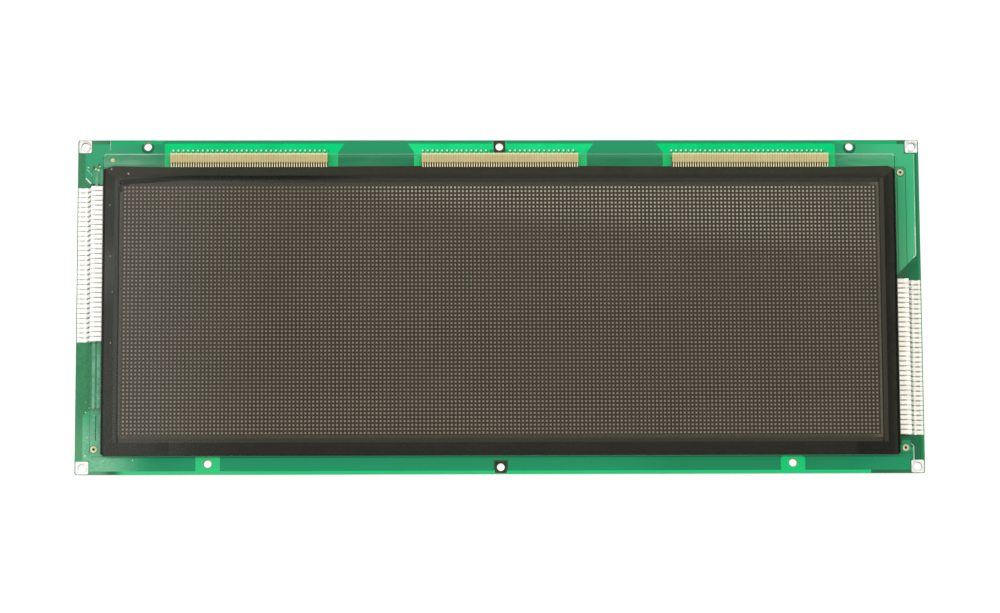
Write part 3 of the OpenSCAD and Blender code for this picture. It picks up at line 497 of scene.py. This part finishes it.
def border_finish():
    """Matt black border: greyer towards its outer edge and at the left by painted reflection, with pale
    specks at the left.
    """
    f = Finish("black_border")
    fine, cloud = f.noise(1.6, detail=5.0), f.noise(26.0)
    outer = f.level(abs(f.x), 200.2, 203.6) | f.level(f.y, 65.0, 68.5)
    left = f.level(f.x, -150, -199)
    # Painted reflection: a pale patch at the left
    smear_and_sheen = f.level(abs(f.y - 15.0) + (cloud - 0.5) * 30, 22, 4) * left
    speck_places = ((-201.2, 70.0, 0.4), (-192.4, 67.6, 0.45), (-201.8, 51.1, 0.35), (-201.4, 24.4, 0.35),
                    (-200.2, 5.7, 0.35), (-200.8, -20.8, 0.4))
    specks = [(f.spot(*place) * 0.8, tone(176, 176, 164)) for place in speck_places]
    # Painted reflection: greyer towards the outer edge and at the left
    colour = f.layered(f.mix(outer | left, tone(43, 43, 37), tone(55, 55, 47)), (
        (f.level(fine * 0.5 + cloud * 0.5, 0.4, 0.62) * 0.3, tone(30, 30, 25)),
        (painted_shadow_line(f), tone(12, 13, 10)),
        # Painted reflection: greyer at the upper left, and in a pale patch at the left
        (left * f.level(f.y, 66, 58, 0.1, 0.5), tone(80, 81, 75)),
        (smear_and_sheen * 0.75, tone(96, 98, 92)),
        (f.level(abs(f.x), 203.9, 204.5), tone(12, 12, 10)),
        *specks))
    return f.surface(colour, f.rough(fine, 0.54, 0.7), f.bump(fine, 0.003), specular=0.07)


def seal_finish():
    """Dark frit between the plates: blackest in a painted shadow line at the upper left and in painted
    shade along its left inner edge.
    """
    f = Finish("seal_frit")
    fine = f.noise(2.4, detail=5.0)
    below_top = 1 - f.level(f.y, 60.6, 61.6)
    colour = f.layered(f.patchy(fine, tone(51, 51, 43), tone(46, 46, 39)), (
        (f.level(abs(f.x), 120, 190) * below_top * 0.5, tone(63, 62, 53)),
        (f.level(f.y, -40, -60) * 0.6, tone(60, 59, 49)),
        (painted_shadow_line(f), tone(7, 8, 6)),
        (f.level(f.x, -196.2, -197.0) * below_top, tone(53, 53, 47)),
        # Painted shade along the left inner edge
        (f.band(f.x, -197.6, -196.3, 0.1) * below_top, tone(12, 13, 10)),
        (f.level(f.x, 196.2, 197.0), tone(57, 55, 47)),
        (f.band(f.x, 196.4, 197.4), tone(36, 34, 28))))
    return f.surface(colour, f.rough(fine, 0.5, 0.64), f.bump(fine, 0.003), specular=0.07)


def ground_finish():
    """Dark ground: darkest between the dots, greyer in its plain margin, with painted shade beyond its
    round upper left corner.
    """
    f = Finish("dark_ground")
    fine = f.noise(1.6, detail=5.0)
    inside = f.box((-195.2, MATRIX_Y - 65.1, 195.2, MATRIX_Y + 65.1), 0.3)
    round_corner = f.spot(-191.7, 58.0, 3.5, 0.25)
    # Painted shade beyond the round upper left corner
    shade_beyond_corner = f.level(f.x, -191.8, -192.0) * f.level(f.y, 58.1, 58.3) * (1 - round_corner)
    margin = f.layered(f.mix(f.level(f.y, 61, 62), tone(71, 70, 63), tone(66, 66, 59)), (
        (f.level(f.x, -190, -195), tone(81, 80, 73)),
        (f.level(f.x, 190, 195), tone(96, 92, 80)),
        (f.level(fine, 0.35, 0.65) * 0.3, tone(56, 54, 46)),
        (shade_beyond_corner, tone(12, 13, 10))))
    between = f.patchy(fine, tone(63, 59, 53), tone(58, 54, 48))
    return f.surface(f.mix(inside, margin, between), f.rough(fine, 0.55, 0.7), f.bump(fine, 0.01),
                     specular=0.07)


def eyelet_finish():
    """Gold-plated collar round a dark bore."""
    f = Finish("eyelets")
    fine = f.noise(0.5, detail=4.0)
    up = abs(f.y - EYELET_YS[0]) & abs(f.y - EYELET_YS[1])
    bore = f.disc(abs(f.x) - EYELET_X, up, 0.7, 0.04)
    gold = f.patchy(fine, tone(255, 246, 220), tone(250, 226, 182))
    return f.surface(f.mix(bore, gold, tone(24, 20, 14)), f.rough(fine, 0.4, 0.55), f.bump(fine, 0.02),
                     metallic=0.1 - bore * 0.1)


def land_finish():
    """Tinned corner lands, with flux and dirt left in the crevices of their rings."""
    f = Finish("corner_lands")
    fine, cloud = f.noise(0.5, detail=5.0), f.noise(2.2)
    across, up = abs(f.x) - CORNER_HOLE[0], abs(f.y) - CORNER_HOLE[1]
    reach = (across * across + up * up).root()
    ring = f.band(reach, 1.9, 2.15, 0.1) | f.band(reach, 2.65, 2.9, 0.12) * f.level(cloud, 0.42, 0.55)
    rim = f.level(abs(across) | abs(up), 3.0, 3.25) * 0.35
    clean_and_sheen = f.level(f.y, 0, -20) * (f.level(f.x, 0, -20) * 0.45 + 0.35)
    bright = tone(254, 252, 248)
    tin = f.mix(clean_and_sheen, f.patchy(cloud * 0.6 + fine * 0.4, bright, tone(224, 222, 214), 0.4, 0.62), bright)
    grime = f.level(fine, 0.3, 0.6, 0.35, 0.7) * (1 - clean_and_sheen)
    return f.surface(f.mix((ring | rim) * grime, tin, tone(96, 92, 78)), f.rough(fine, 0.34, 0.5),
                     f.bump(cloud, 0.05), metallic=0.1)


def cathode_finish():
    """Pale rows behind the dots, lighter along the top and towards the upper right by painted reflection.
    """
    f = Finish("cathode_rows")
    fine, cloud = f.noise(0.7, detail=4.0), f.noise(60.0)
    above = f.y - (f.x + 60) * -0.11 - 55
    along = f.level(f.x, -98, -50) * f.level(f.x, 130, 190, 1.0, 0.55)
    # Painted reflection along the top and towards the upper right
    clean_and_sheen = f.level(above + (cloud - 0.5) * 8, -9, 9) * along
    grey = f.patchy(cloud * 0.6 + fine * 0.4, tone(145, 134, 119), tone(137, 126, 112), 0.38, 0.62)
    colour = f.layered(grey, (
        (f.level(f.y, -38, -58) * 0.2, tone(168, 155, 138)),
        (clean_and_sheen, tone(185, 176, 161))))
    return f.surface(colour, f.rough(fine, 0.5, 0.7), f.bump(fine, 0.01), specular=0.1)


def moulded_finish(name, light, dark, rough=0.5):
    """Moulded plastic, epoxy or rubber with its fine grain."""
    f = Finish(name)
    fine, cloud = f.noise(0.5, detail=5.0), f.noise(7.0)
    colour = f.patchy(cloud * 0.6 + fine * 0.4, light, dark, 0.38, 0.64)
    return f.surface(colour, f.rough(fine, rough - 0.07, rough + 0.09), f.bump(fine, 0.015), specular=0.4)


def strip_finish(name, light, grey):
    """Tinned lands of the side leads, greyed by painted shade between one lead and the next."""
    f = Finish(name)
    fine = f.noise(0.8, detail=5.0)
    from_lead = abs((f.y - centre(name).y).wrapped(ROW_PITCH) - ROW_PITCH / 2)
    shade_between_leads = f.level(from_lead + (fine - 0.5) * 0.6, 0.62, 0.9)
    return f.surface(f.mix(shade_between_leads, light, grey), f.rough(fine, 0.38, 0.55), f.bump(fine, 0.02), metallic=0.02)


def pad_finish():
    """Silver print under the side leads, greyer at the right."""
    f = Finish("contact_pads")
    fine, right = f.noise(0.8, detail=5.0), f.level(f.x, -10, 10)
    bright = f.mix(right, tone(234, 230, 220), tone(214, 208, 192))
    dull = f.mix(right, tone(210, 205, 192), tone(190, 184, 168))
    colour = f.mix(f.level(fine, 0.35, 0.65) * 0.6, bright, dull)
    return f.surface(colour, f.rough(fine, 0.4, 0.55), f.bump(fine, 0.01), metallic=0.02)


def chip_finish(node, inset):
    """Black epoxy body; everything beyond the body's edge is its tinned leads."""
    f = Finish("chip_" + node)
    fine = f.noise(0.35, detail=5.0)
    low, high = span(node)
    middle = (low + high) / 2
    edge_x, edge_y = high.x - middle.x - inset[0], high.y - middle.y - inset[1]
    beyond = (f.level(abs(f.x - middle.x), edge_x, edge_x + 0.04)
              | f.level(abs(f.y - middle.y), edge_y, edge_y + 0.04))
    first_pin = f.spot(low.x + inset[0] + 1.6, high.y - inset[1] - 1.6, 0.55, 0.06)
    epoxy = f.mix(first_pin, f.patchy(fine, tone(46, 46, 48), tone(36, 36, 38)), tone(24, 24, 26))
    tin = f.patchy(fine, tone(196, 194, 188), tone(150, 149, 145))
    return f.surface(f.mix(beyond, epoxy, tin), f.rough(fine, 0.42, 0.58), f.bump(fine, 0.02),
                     metallic=beyond * 0.3)


def can_finish(node):
    """Dark sleeve round the can, and a bare aluminium end scored with a cross to vent."""
    f = Finish("sleeve_" + node)
    fine = f.noise(0.8, detail=5.0)
    middle = centre(node)
    end = f.level(f.z, 0.42, 0.3)
    across, up = abs(f.x - middle.x), abs(f.y - middle.y)
    score = f.level(across & up, 0.2, 0.12) * f.level(across | up, 2.7, 2.6)
    sleeve = f.patchy(fine, tone(34, 50, 92), tone(26, 40, 76))
    metal = f.mix(score, f.patchy(fine, tone(206, 208, 210), tone(176, 178, 182)), tone(96, 98, 102))
    return f.surface(f.mix(end, sleeve, metal), f.rough(fine, 0.28, 0.42), f.bump(fine, 0.01),
                     metallic=end * 0.4 - end * score * 0.3)


def foam_finish():
    """Closed-cell foam: small round cells in grey."""
    f = Finish("foam")
    cells = f.cells(0.9)
    colour = f.patchy(cells, tone(62, 62, 64), tone(92, 92, 94), 0.1, 0.6)
    return f.surface(colour, f.level(cells, 0.0, 1.0, 0.8, 0.95), f.bump(cells, 0.2))


# Finishes by the material slot of a CAD node
SLOT_FINISHES = {
    "board": board_finish(),
    "masked_copper": copper_finish(),
    "solder": tinned_finish("solder", tone(246, 244, 238), tone(206, 203, 194), 0.15),
    "bare_land": tinned_finish("bare_land", tone(74, 64, 52), tone(40, 34, 28), 0.15, rough=0.5),
    "gold_plate": tinned_finish("gold_plate", tone(252, 234, 194), tone(230, 202, 150), 0.12, rough=0.35),
    "dark_print": print_finish("dark_print", tone(64, 60, 54), tone(58, 55, 49)),
    "cathode": cathode_finish(),
    "seal": seal_finish(),
    "black_print": border_finish(),
    "foam": foam_finish(),
    "brass_lead": brass_finish(),
    "seal_rubber": moulded_finish("can_rubber", tone(38, 38, 38), tone(28, 28, 28), rough=0.6),
    "header_black": moulded_finish("header_black", tone(42, 42, 43), tone(32, 32, 33)),
    "header_white": moulded_finish("header_white", tone(236, 231, 214), tone(224, 218, 198)),
    "ceramic_tan": moulded_finish("ceramic_tan", tone(192, 162, 120), tone(170, 140, 100), rough=0.45),
    "resistor_black": moulded_finish("resistor_black", tone(38, 38, 42), tone(28, 28, 31), rough=0.3),
}

# Finishes of single nodes
# Colours of the plates' ground edges, which also glow at half strength as painted light
FRONT_EDGE, FRONT_TOP_EDGE = tone(16, 17, 14), tone(190, 224, 206)
REAR_EDGE = tone(60, 118, 88)
TUBE_EDGE = tone(200, 224, 210)
NODE_FINISHES = {
    "front_glass": glass_finish("front_plate", (0.985, 0.98, 0.962), 0.1, FRONT_EDGE, FRONT_TOP_EDGE),
    "rear_glass": glass_finish("rear_plate", (0.955, 0.972, 0.955), 0.04, REAR_EDGE, REAR_EDGE),
    "exhaust_tip": glass_finish("exhaust_tube", (0.93, 0.965, 0.95), 0.02, TUBE_EDGE, TUBE_EDGE),
    "dark_ground": ground_finish(),
    "test_eyelets": eyelet_finish(),
    "corner_lands": land_finish(),
    "tinned_points": tinned_finish("points", tone(255, 254, 250), tone(240, 238, 232), 0.1),
    # The second tone of each row of lands is the painted shade between its leads
    "row_lands_left": strip_finish("row_lands_left", tone(255, 254, 250), tone(220, 215, 203)),
    "row_lands_right": strip_finish("row_lands_right", tone(252, 249, 240), tone(194, 188, 172)),
    "row_leads_left": tinned_finish(
        "row_leads_left", tone(255, 254, 250), tone(246, 243, 236), 0.02, rough=0.45),
    "row_leads_right": tinned_finish(
        "row_leads_right", tone(252, 250, 242), tone(238, 234, 222), 0.02, rough=0.45),
}

# How far a chip's body lies inside the box of its leads, along x and y, in millimetres
CHIP_INSETS = {"column_driver": (0.4, 0.4), "row_driver": (0.4, 0.4), "buffer_chip": (-1.0, 1.38)}


def finish_of(node, slot):
    """The finish of a CAD node: its own, or one fitted to its can or chip, or its slot's."""
    if node in NODE_FINISHES:
        return NODE_FINISHES[node]
    if slot == "can_sleeve":
        return can_finish(node)
    for kind, inset in CHIP_INSETS.items():
        if node.startswith(kind):
            return chip_finish(node, inset)
    return SLOT_FINISHES[slot]


for row in frame["record"]["subparts"]:
    slots = bpy.data.objects[row["node"]].data.materials
    slots.clear()
    slots.append(finish_of(row["node"], row["material_slot"]))


# Pieces that the scene adds

class Shape:
    """Points and faces of a piece, in millimetres, and the solids that are added to them."""

    def __init__(self):
        self.points, self.faces = [], []

    def strip(self, path, width, low, high, shoulder=0.75):
        """A flat raised line along a path; the shoulder is its far side's share of its foot's width."""
        path = [Vector(p) for p in path]
        start = len(self.points)
        for i, here in enumerate(path):
            before = (here - path[i - 1]).normalized() if i else (path[1] - here).normalized()
            after = (path[i + 1] - here).normalized() if i + 1 < len(path) else before
            along = (before + after).normalized()
            side = Vector((-along.y, along.x)) / max(along.dot(before), 0.4) * width / 2
            for reach, z in ((1.0, low), (shoulder, high), (-shoulder, high), (-1.0, low)):
                self.points.append((here.x + side.x * reach, here.y + side.y * reach, z))
        end = start + 4 * (len(path) - 1)
        for a in range(start, end, 4):
            for k in range(4):
                m = (k + 1) % 4
                self.faces.append((a + k, a + m, a + 4 + m, a + 4 + k))
        self.faces.append((start, start + 1, start + 2, start + 3))
        self.faces.append((end + 3, end + 2, end + 1, end))

    def turned(self, middle, profile, sides):
        """A solid turned round an upright axis, from pairs of radius and height that start and end at 0."""
        rings = []
        for radius, z in profile:
            first = len(self.points)
            if radius == 0:
                rings.append([first] * sides)
                self.points.append((middle[0], middle[1], z))
            else:
                rings.append(list(range(first, first + sides)))
                self.points.extend((middle[0] + radius * math.cos(math.tau * k / sides),
                                    middle[1] + radius * math.sin(math.tau * k / sides), z)
                                   for k in range(sides))
        for one, two in zip(rings, rings[1:]):
            for k in range(sides):
                m = (k + 1) % sides
                face = []
                for index in (one[k], one[m], two[m], two[k]):
                    if index not in face:
                        face.append(index)
                self.faces.append(tuple(face))

    def dome(self, middle, radius, low, high, sides=10):
        """A rounded blob of solder between two levels, which may be upside down."""
        rise = high - low
        self.turned(middle, [(0, low), (radius, low), (radius * 0.88, low + rise * 0.45),
                             (radius * 0.55, low + rise * 0.85), (0, high)], sides)

    def build(self, name, material):
        """The shape as an object in the scene, with its faces turned outward."""
        mesh = bpy.data.meshes.new(name)
        mesh.from_pydata([Vector(p) * MM for p in self.points], [], self.faces)
        shape = bmesh.new()
        shape.from_mesh(mesh)
        bmesh.ops.recalc_face_normals(shape, faces=shape.faces)
        shape.to_mesh(mesh)
        shape.free()
        mesh.materials.append(material)
        made = bpy.data.objects.new(name, mesh)
        bpy.context.scene.collection.objects.link(made)
        return made

    def piece(self, name, material, slot):
        """The shape as a piece of the display, fixed to its one body."""
        piece = self.build(name, material)
        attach(piece, "root")


def lead_x(i):
    """Place of a comb's lead along x, from the comb's middle."""
    return (i - (LEGS_PER_COMB - 1) / 2) * LEAD_PITCH


# Bare lines of the front: a path in millimetres, with its width and height
BARE_LINES = (
    ([(217.1, 80.0), (217.1, 58.0)], 0.14, 0.13),
    ([(217.1, 58.0), (217.1, 41.3)], 0.3, 0.13),
    ([(217.1, 41.3), (217.1, 26.9)], 0.55, 0.14),
    ([(217.1, 27.2), (217.05, 26.3), (215.9, 25.1)], 0.45, 0.14),
    ([(-215.5, 67.5), (-212.8, 64.6)], 0.75, 0.16),
    ([(214.0, -73.6), (214.0, -81.1)], 0.5, 0.14),
    ([(214.0, -73.6), (212.6, -72.2)], 0.35, 0.14),
    ([(-215.15, 72.2), (-214.2, 71.5), (-213.4, 70.5), (-212.6, 69.5), (-212.0, 68.4)], 0.2, 0.12),
    ([(-205.8, -81.1), (-204.5, -80.0)], 0.22, 0.12),
    ([(-204.3, -79.4), (-203.5, -78.9)], 0.15, 0.12),
    ([(-202.9, 87.2), (-202.9, 82.0)], 0.22, 0.12),
)

# Upright traces of the left ledge in millimetres: x, low y, high y, width, lift
LEDGE_TRACES = (
    (-210.45, -53.0, -17.5, 1.4, 0.0),
    (-207.85, -53.0, -17.5, 1.7, 0.0),
    (-209.9, 63.5, 70.4, 1.3, 0.1),
    (-207.4, 64.0, 71.5, 1.1, 0.1),
    (-209.95, -71.0, -56.6, 1.2, 0.1),
    (-207.2, -72.0, -56.6, 1.1, 0.1),
)
LEDGE_TURNS = ((-210.9, -47.2), (-209.1, -45.7), (-208.5, -44.2), (-207.9, -39.2))
LEDGE_T = 0.05
UNDER_GLASS_X = -203.0

# Prints behind the combs and under the side leads, in millimetres
TIPS_Y, CONTACT_W = 72.75, 2.5
BODIES_Y, CEMENT_W = 75.5, 2.8
PAD_INNER_X, PAD_OUTER_X, PAD_W, PAD_T = 205.5, 209.2, 2.3, 0.02

# Vias and blobs on the board's front in millimetres: x, y, radius
FRONT_VIAS = (
    (-201.7, 77.1, 1.15), (-210.4, 72.4, 0.55), (-209.0, 71.8, 0.7), (-208.3, 73.6, 0.45),
    (-214.3, 73.2, 0.4), (-210.6, -53.4, 0.3), (-214.4, -77.9, 0.5), (-189.8, -80.3, 0.35),
)


def front_lines():
    """Bare copper lines, corner ticks and marks on the front of the board."""
    shape = Shape()
    for path, width, height in BARE_LINES:
        shape.strip(path, width, BOARD_FRONT, BOARD_FRONT + height)
    shape.piece("bare_copper_lines", SLOT_FINISHES["solder"], "solder")


def edge_traces():
    """Masked traces that run down the left side and turn in under the glass."""
    shape = Shape()
    for x, y in LEDGE_TURNS:
        path = [(x, y), (x + 0.35, y - 1.3), (x + 1.2, y - 2.1), (UNDER_GLASS_X, y - 2.5)]
        shape.strip(path, 0.35, BOARD_FRONT + LEDGE_T, BOARD_FRONT + 2 * LEDGE_T)
    for x, low, high, width, lift in LEDGE_TRACES:
        foot = BOARD_FRONT + lift
        shape.strip([(x, low), (x, high)], width, foot, foot + LEDGE_T, 0.95)
    shape.piece("edge_traces", edge_trace_finish(), "masked_copper")


def comb_print(name, y, width, material, slot):
    """A printed strip on the back of the front plate, behind the leads of each comb."""
    shape = Shape()
    for comb_x in COMB_XS:
        path = [(comb_x - COMB_HALF, y), (comb_x + COMB_HALF, y)]
        shape.strip(path, width, FRONT_PLATE_BACK - 0.11, FRONT_PLATE_BACK - 0.01, 1.0)
    shape.piece(name, material, slot)


def contact_prints():
    """Fired print behind the combs' tips, cement behind their bodies, pads under the side leads."""
    fired = print_finish("contact_print", tone(88, 56, 5), tone(44, 28, 2), grain_mm=0.9)
    cement = print_finish("cement", tone(186, 172, 122), tone(170, 154, 104), grain_mm=0.9)
    comb_print("comb_contact_print", TIPS_Y, CONTACT_W, fired, "dark_print")
    comb_print("comb_cement", BODIES_Y, CEMENT_W, cement, "brass_lead")
    shape = Shape()
    low = REAR_PLATE_FRONT + 0.002
    for name, side in (("row_lands_left", -1), ("row_lands_right", 1)):
        for i in range(ROW_LEADS):
            y = centre(name).y - ROW_JOG + (i - (ROW_LEADS - 1) / 2) * ROW_PITCH
            path = [(side * PAD_INNER_X, y), (side * PAD_OUTER_X, y)]
            shape.strip(path, PAD_W, low, low + PAD_T, 1.0)
    shape.piece("row_contact_pads", pad_finish(), "solder")


def front_vias():
    """Vias and blobs of flux on the front of the board."""
    shape = Shape()
    for x, y, radius in FRONT_VIAS:
        shape.dome((x, y), radius, BOARD_FRONT, BOARD_FRONT + 0.3)
    shape.piece("front_vias", SLOT_FINISHES["gold_plate"], "gold_plate")


def leg_solder():
    """Solder round every leg of the combs, on the rear of the board."""
    cone = [(0, BOARD_BACK), (0.62, BOARD_BACK), (0.5, BOARD_BACK - 0.2), (0.36, BOARD_BACK - 0.55),
            (0, BOARD_BACK - 0.6)]
    shape = Shape()
    for comb_x in COMB_XS:
        for i in range(LEGS_PER_COMB):
            shape.turned((comb_x + lead_x(i), LEG_ROWS[i % 2]), cone, 8)
    shape.piece("leg_solder", SLOT_FINISHES["solder"], "solder")


# Traces of the rear from the drivers to the legs, in millimetres
TRACE_W, TRACE_T = 0.34, 0.05
LEAD_OUT = 0.9
BEND = 1.2
FIRST_TURN_Y = 68.6
OUTER_TURN_YS = (74.0, 75.4)
FAN_STEP = 0.95


def driver_path(comb_x, side, k):
    """Trace to a leg from its driver's pin; k counts the legs of half a comb from the comb's end inward."""
    chip = comb_x + side * DRIVER_OFFSET
    leg = comb_x + side * lead_x(LEGS_PER_COMB - 1 - k)
    row = LEG_ROWS[(LEGS_PER_COMB - 1 - k) % 2] if side > 0 else LEG_ROWS[k % 2]
    if k == 0:
        # Uppermost pin of the chip's outer side
        pin, out = chip + side * CHIP_HALF, chip + side * (CHIP_HALF + LEAD_OUT)
        y = DRIVER_Y + LAST_PIN * LEAD_PITCH
        return [(pin, y), (out, y), (out, OUTER_TURN_YS[0]), (leg, OUTER_TURN_YS[1]), (leg, row)]
    if k <= CHIP_LEADS:
        # Pins of its upper side
        pin = chip - side * (k - 1 - LAST_PIN) * LEAD_PITCH
        turn_y = FIRST_TURN_Y + abs(leg - pin) + 0.2
        return [(pin, DRIVER_Y + CHIP_HALF), (pin, FIRST_TURN_Y), (leg, turn_y), (leg, row)]
    if k <= 2 * CHIP_LEADS:
        # Pins of its side towards the comb's middle
        y = DRIVER_Y + (LAST_PIN - (k - CHIP_LEADS - 1)) * LEAD_PITCH
        return [(chip - side * CHIP_HALF, y), (leg + side * BEND, y), (leg, y + BEND), (leg, row)]
    # Pins of its lower side, fanned out one below the other
    j = k - 2 * CHIP_LEADS - 1
    pin = chip - side * (LAST_PIN - j) * LEAD_PITCH
    y = DRIVER_Y - CHIP_HALF - BEND - j * FAN_STEP
    return [(pin, DRIVER_Y - CHIP_HALF), (pin, y + 0.8), (pin - side * 0.8, y), (leg + side * BEND, y),
            (leg, y + BEND), (leg, row)]


# The rear's long traces, in millimetres: lines across the board, one up to each from the data header,
# and those of power, each from x at its header to the x where it ends
BUS_LINES, BUS_X, BUS_Y, BUS_STEP, BUS_W = 10, 186.0, 28.0, 1.3, 0.4
DATA_X, DATA_PITCH, DATA_LOW_Y = -62.0, 2.54, -66.0
DATA_TURN_YS, DATA_DRAWN_IN = (-30.0, -22.0), 0.86
POWER_TRACES = ((44.14, -150.0), (52.06, 150.0), (59.98, 65.0), (67.9, -65.0))
POWER_LOW_Y, POWER_W, POWER_T = -68.65, 2.2, 0.06
POWER_TURN_X, POWER_TURN_Y, POWER_SLOPE, POWER_RISE = 44.0, -40.0, 0.25, 12.0


def rear_traces():
    """Traces from the drivers to the legs, and the long ones of data and power, with their vias."""
    lines, vias = Shape(), Shape()
    trace_top = BOARD_BACK - TRACE_T
    for comb_x in COMB_XS:
        for side in (-1, 1):
            for k in range(LEGS_PER_COMB // 2):
                lines.strip(driver_path(comb_x, side, k), TRACE_W, BOARD_BACK, trace_top)
    for line in range(BUS_LINES):
        end, y = BUS_X - line, BUS_Y + BUS_STEP * line
        lines.strip([(-end, y), (end, y)], BUS_W, BOARD_BACK, trace_top)
        for x in (-end, end):
            vias.dome((x, y), 0.5, BOARD_BACK, BOARD_BACK - 0.2, 12)
    for line in range(BUS_LINES):
        x = DATA_X + (line - (BUS_LINES - 1) / 2) * DATA_PITCH
        inner = x * DATA_DRAWN_IN
        first_turn, last_turn = (y - line for y in DATA_TURN_YS)
        path = [(x, DATA_LOW_Y), (x, first_turn), (inner, last_turn), (inner, BUS_Y + BUS_STEP * line)]
        lines.strip(path, BUS_W, BOARD_BACK, trace_top)
    for x, end in POWER_TRACES:
        turn_y = POWER_TURN_Y + (x - POWER_TURN_X) * POWER_SLOPE
        path = [(x, POWER_LOW_Y), (x, turn_y), (end, turn_y), (end, turn_y + POWER_RISE)]
        lines.strip(path, POWER_W, BOARD_BACK, BOARD_BACK - POWER_T)
        for shift in (-0.45, 0.45):
            vias.dome((end + shift, turn_y + POWER_RISE - 1.0), 0.42, trace_top, BOARD_BACK - 0.25, 12)
    lines.piece("rear_traces", rear_trace_finish(), "masked_copper")
    vias.piece("rear_vias", SLOT_FINISHES["solder"], "solder")


front_lines()
edge_traces()
contact_prints()
front_vias()
leg_solder()
rear_traces()


# Floor, lights and camera

def floor():
    """Pale floor that looks white wherever it is seen, and takes the display's shadow."""
    half, z = 6000, -0.02
    shape = Shape()
    shape.points = [(-half, -half, z), (half, -half, z), (half, half, z), (-half, half, z)]
    shape.faces = [(0, 1, 2, 3)]
    f = Finish("pale_floor")
    camera_ray, glossy, through = (
        f.node("LightPath", {}, {}, f"Is {kind} Ray") for kind in ("Camera", "Glossy", "Transmission"))
    paper = f.mix(f.noise(40.0), (0.46, 0.46, 0.46), (0.44, 0.44, 0.44))
    matt = f.node("BsdfDiffuse", {}, {"Color": paper})
    glow = f.node("Emission", {}, {"Color": (1.0, 1.0, 1.0, 1.0), "Strength": 0.75})
    bright = f.node("AddShader", {}, {0: matt, 1: glow})
    f.shade(f.node("MixShader", {}, {0: camera_ray | glossy | through, 1: matt, 2: bright}))
    piece = shape.build("floor", f.material)


def softbox():
    """One lamp over the display, which its glossy surfaces don't mirror."""
    lamp = bpy.data.lights.new("softbox", "AREA")
    lamp.shape = "RECTANGLE"
    lamp.size, lamp.size_y = 1.3, 0.4
    lamp.energy = 84.0
    made = bpy.data.objects.new("softbox", lamp)
    made.location = (0, -0.27, 3.3)
    made.rotation_mode = "QUATERNION"
    made.rotation_quaternion = (-made.location).to_track_quat("-Z", "Y")
    made.visible_glossy = False
    bpy.context.scene.collection.objects.link(made)


def sky():
    """The light from all round: brighter beyond the display's top edge, and brightest at its left."""
    world = bpy.data.worlds.new("studio")
    f = Nodes(world, "OutputWorld", "Generated")
    upper = f.mix(f.level(f.y, 0.135, 0.2), (0.16, 0.157, 0.15), (0.26, 0.257, 0.24))
    colour = f.mix(f.level(f.x, -0.035, -0.10), upper, (0.7, 0.7, 0.68))
    f.shade(f.node("Background", {}, {"Color": colour, "Strength": 1.0}))
    bpy.context.scene.world = world
    bpy.context.scene.view_settings.view_transform = "Standard"


def camera():
    """The photograph's camera: where it stood, and the directions of its right, up and back."""
    right = (0.99974, -0.00477, 0.02223)
    up = (0.00146, 0.98921, 0.14647)
    back = (-0.02269, -0.14640, 0.98896)
    place = Vector((-43.29, -279.25, 1897.87)) * MM
    made = bpy.data.objects.new("camera", bpy.data.cameras.new("camera"))
    made.matrix_world = Matrix((*zip(right, up, back, place), (0, 0, 0, 1)))
    made.data.sensor_width = 36.0
    made.data.lens = 131.98
    bpy.context.scene.collection.objects.link(made)
    bpy.context.scene.camera = made


floor()
softbox()
sky()
camera()
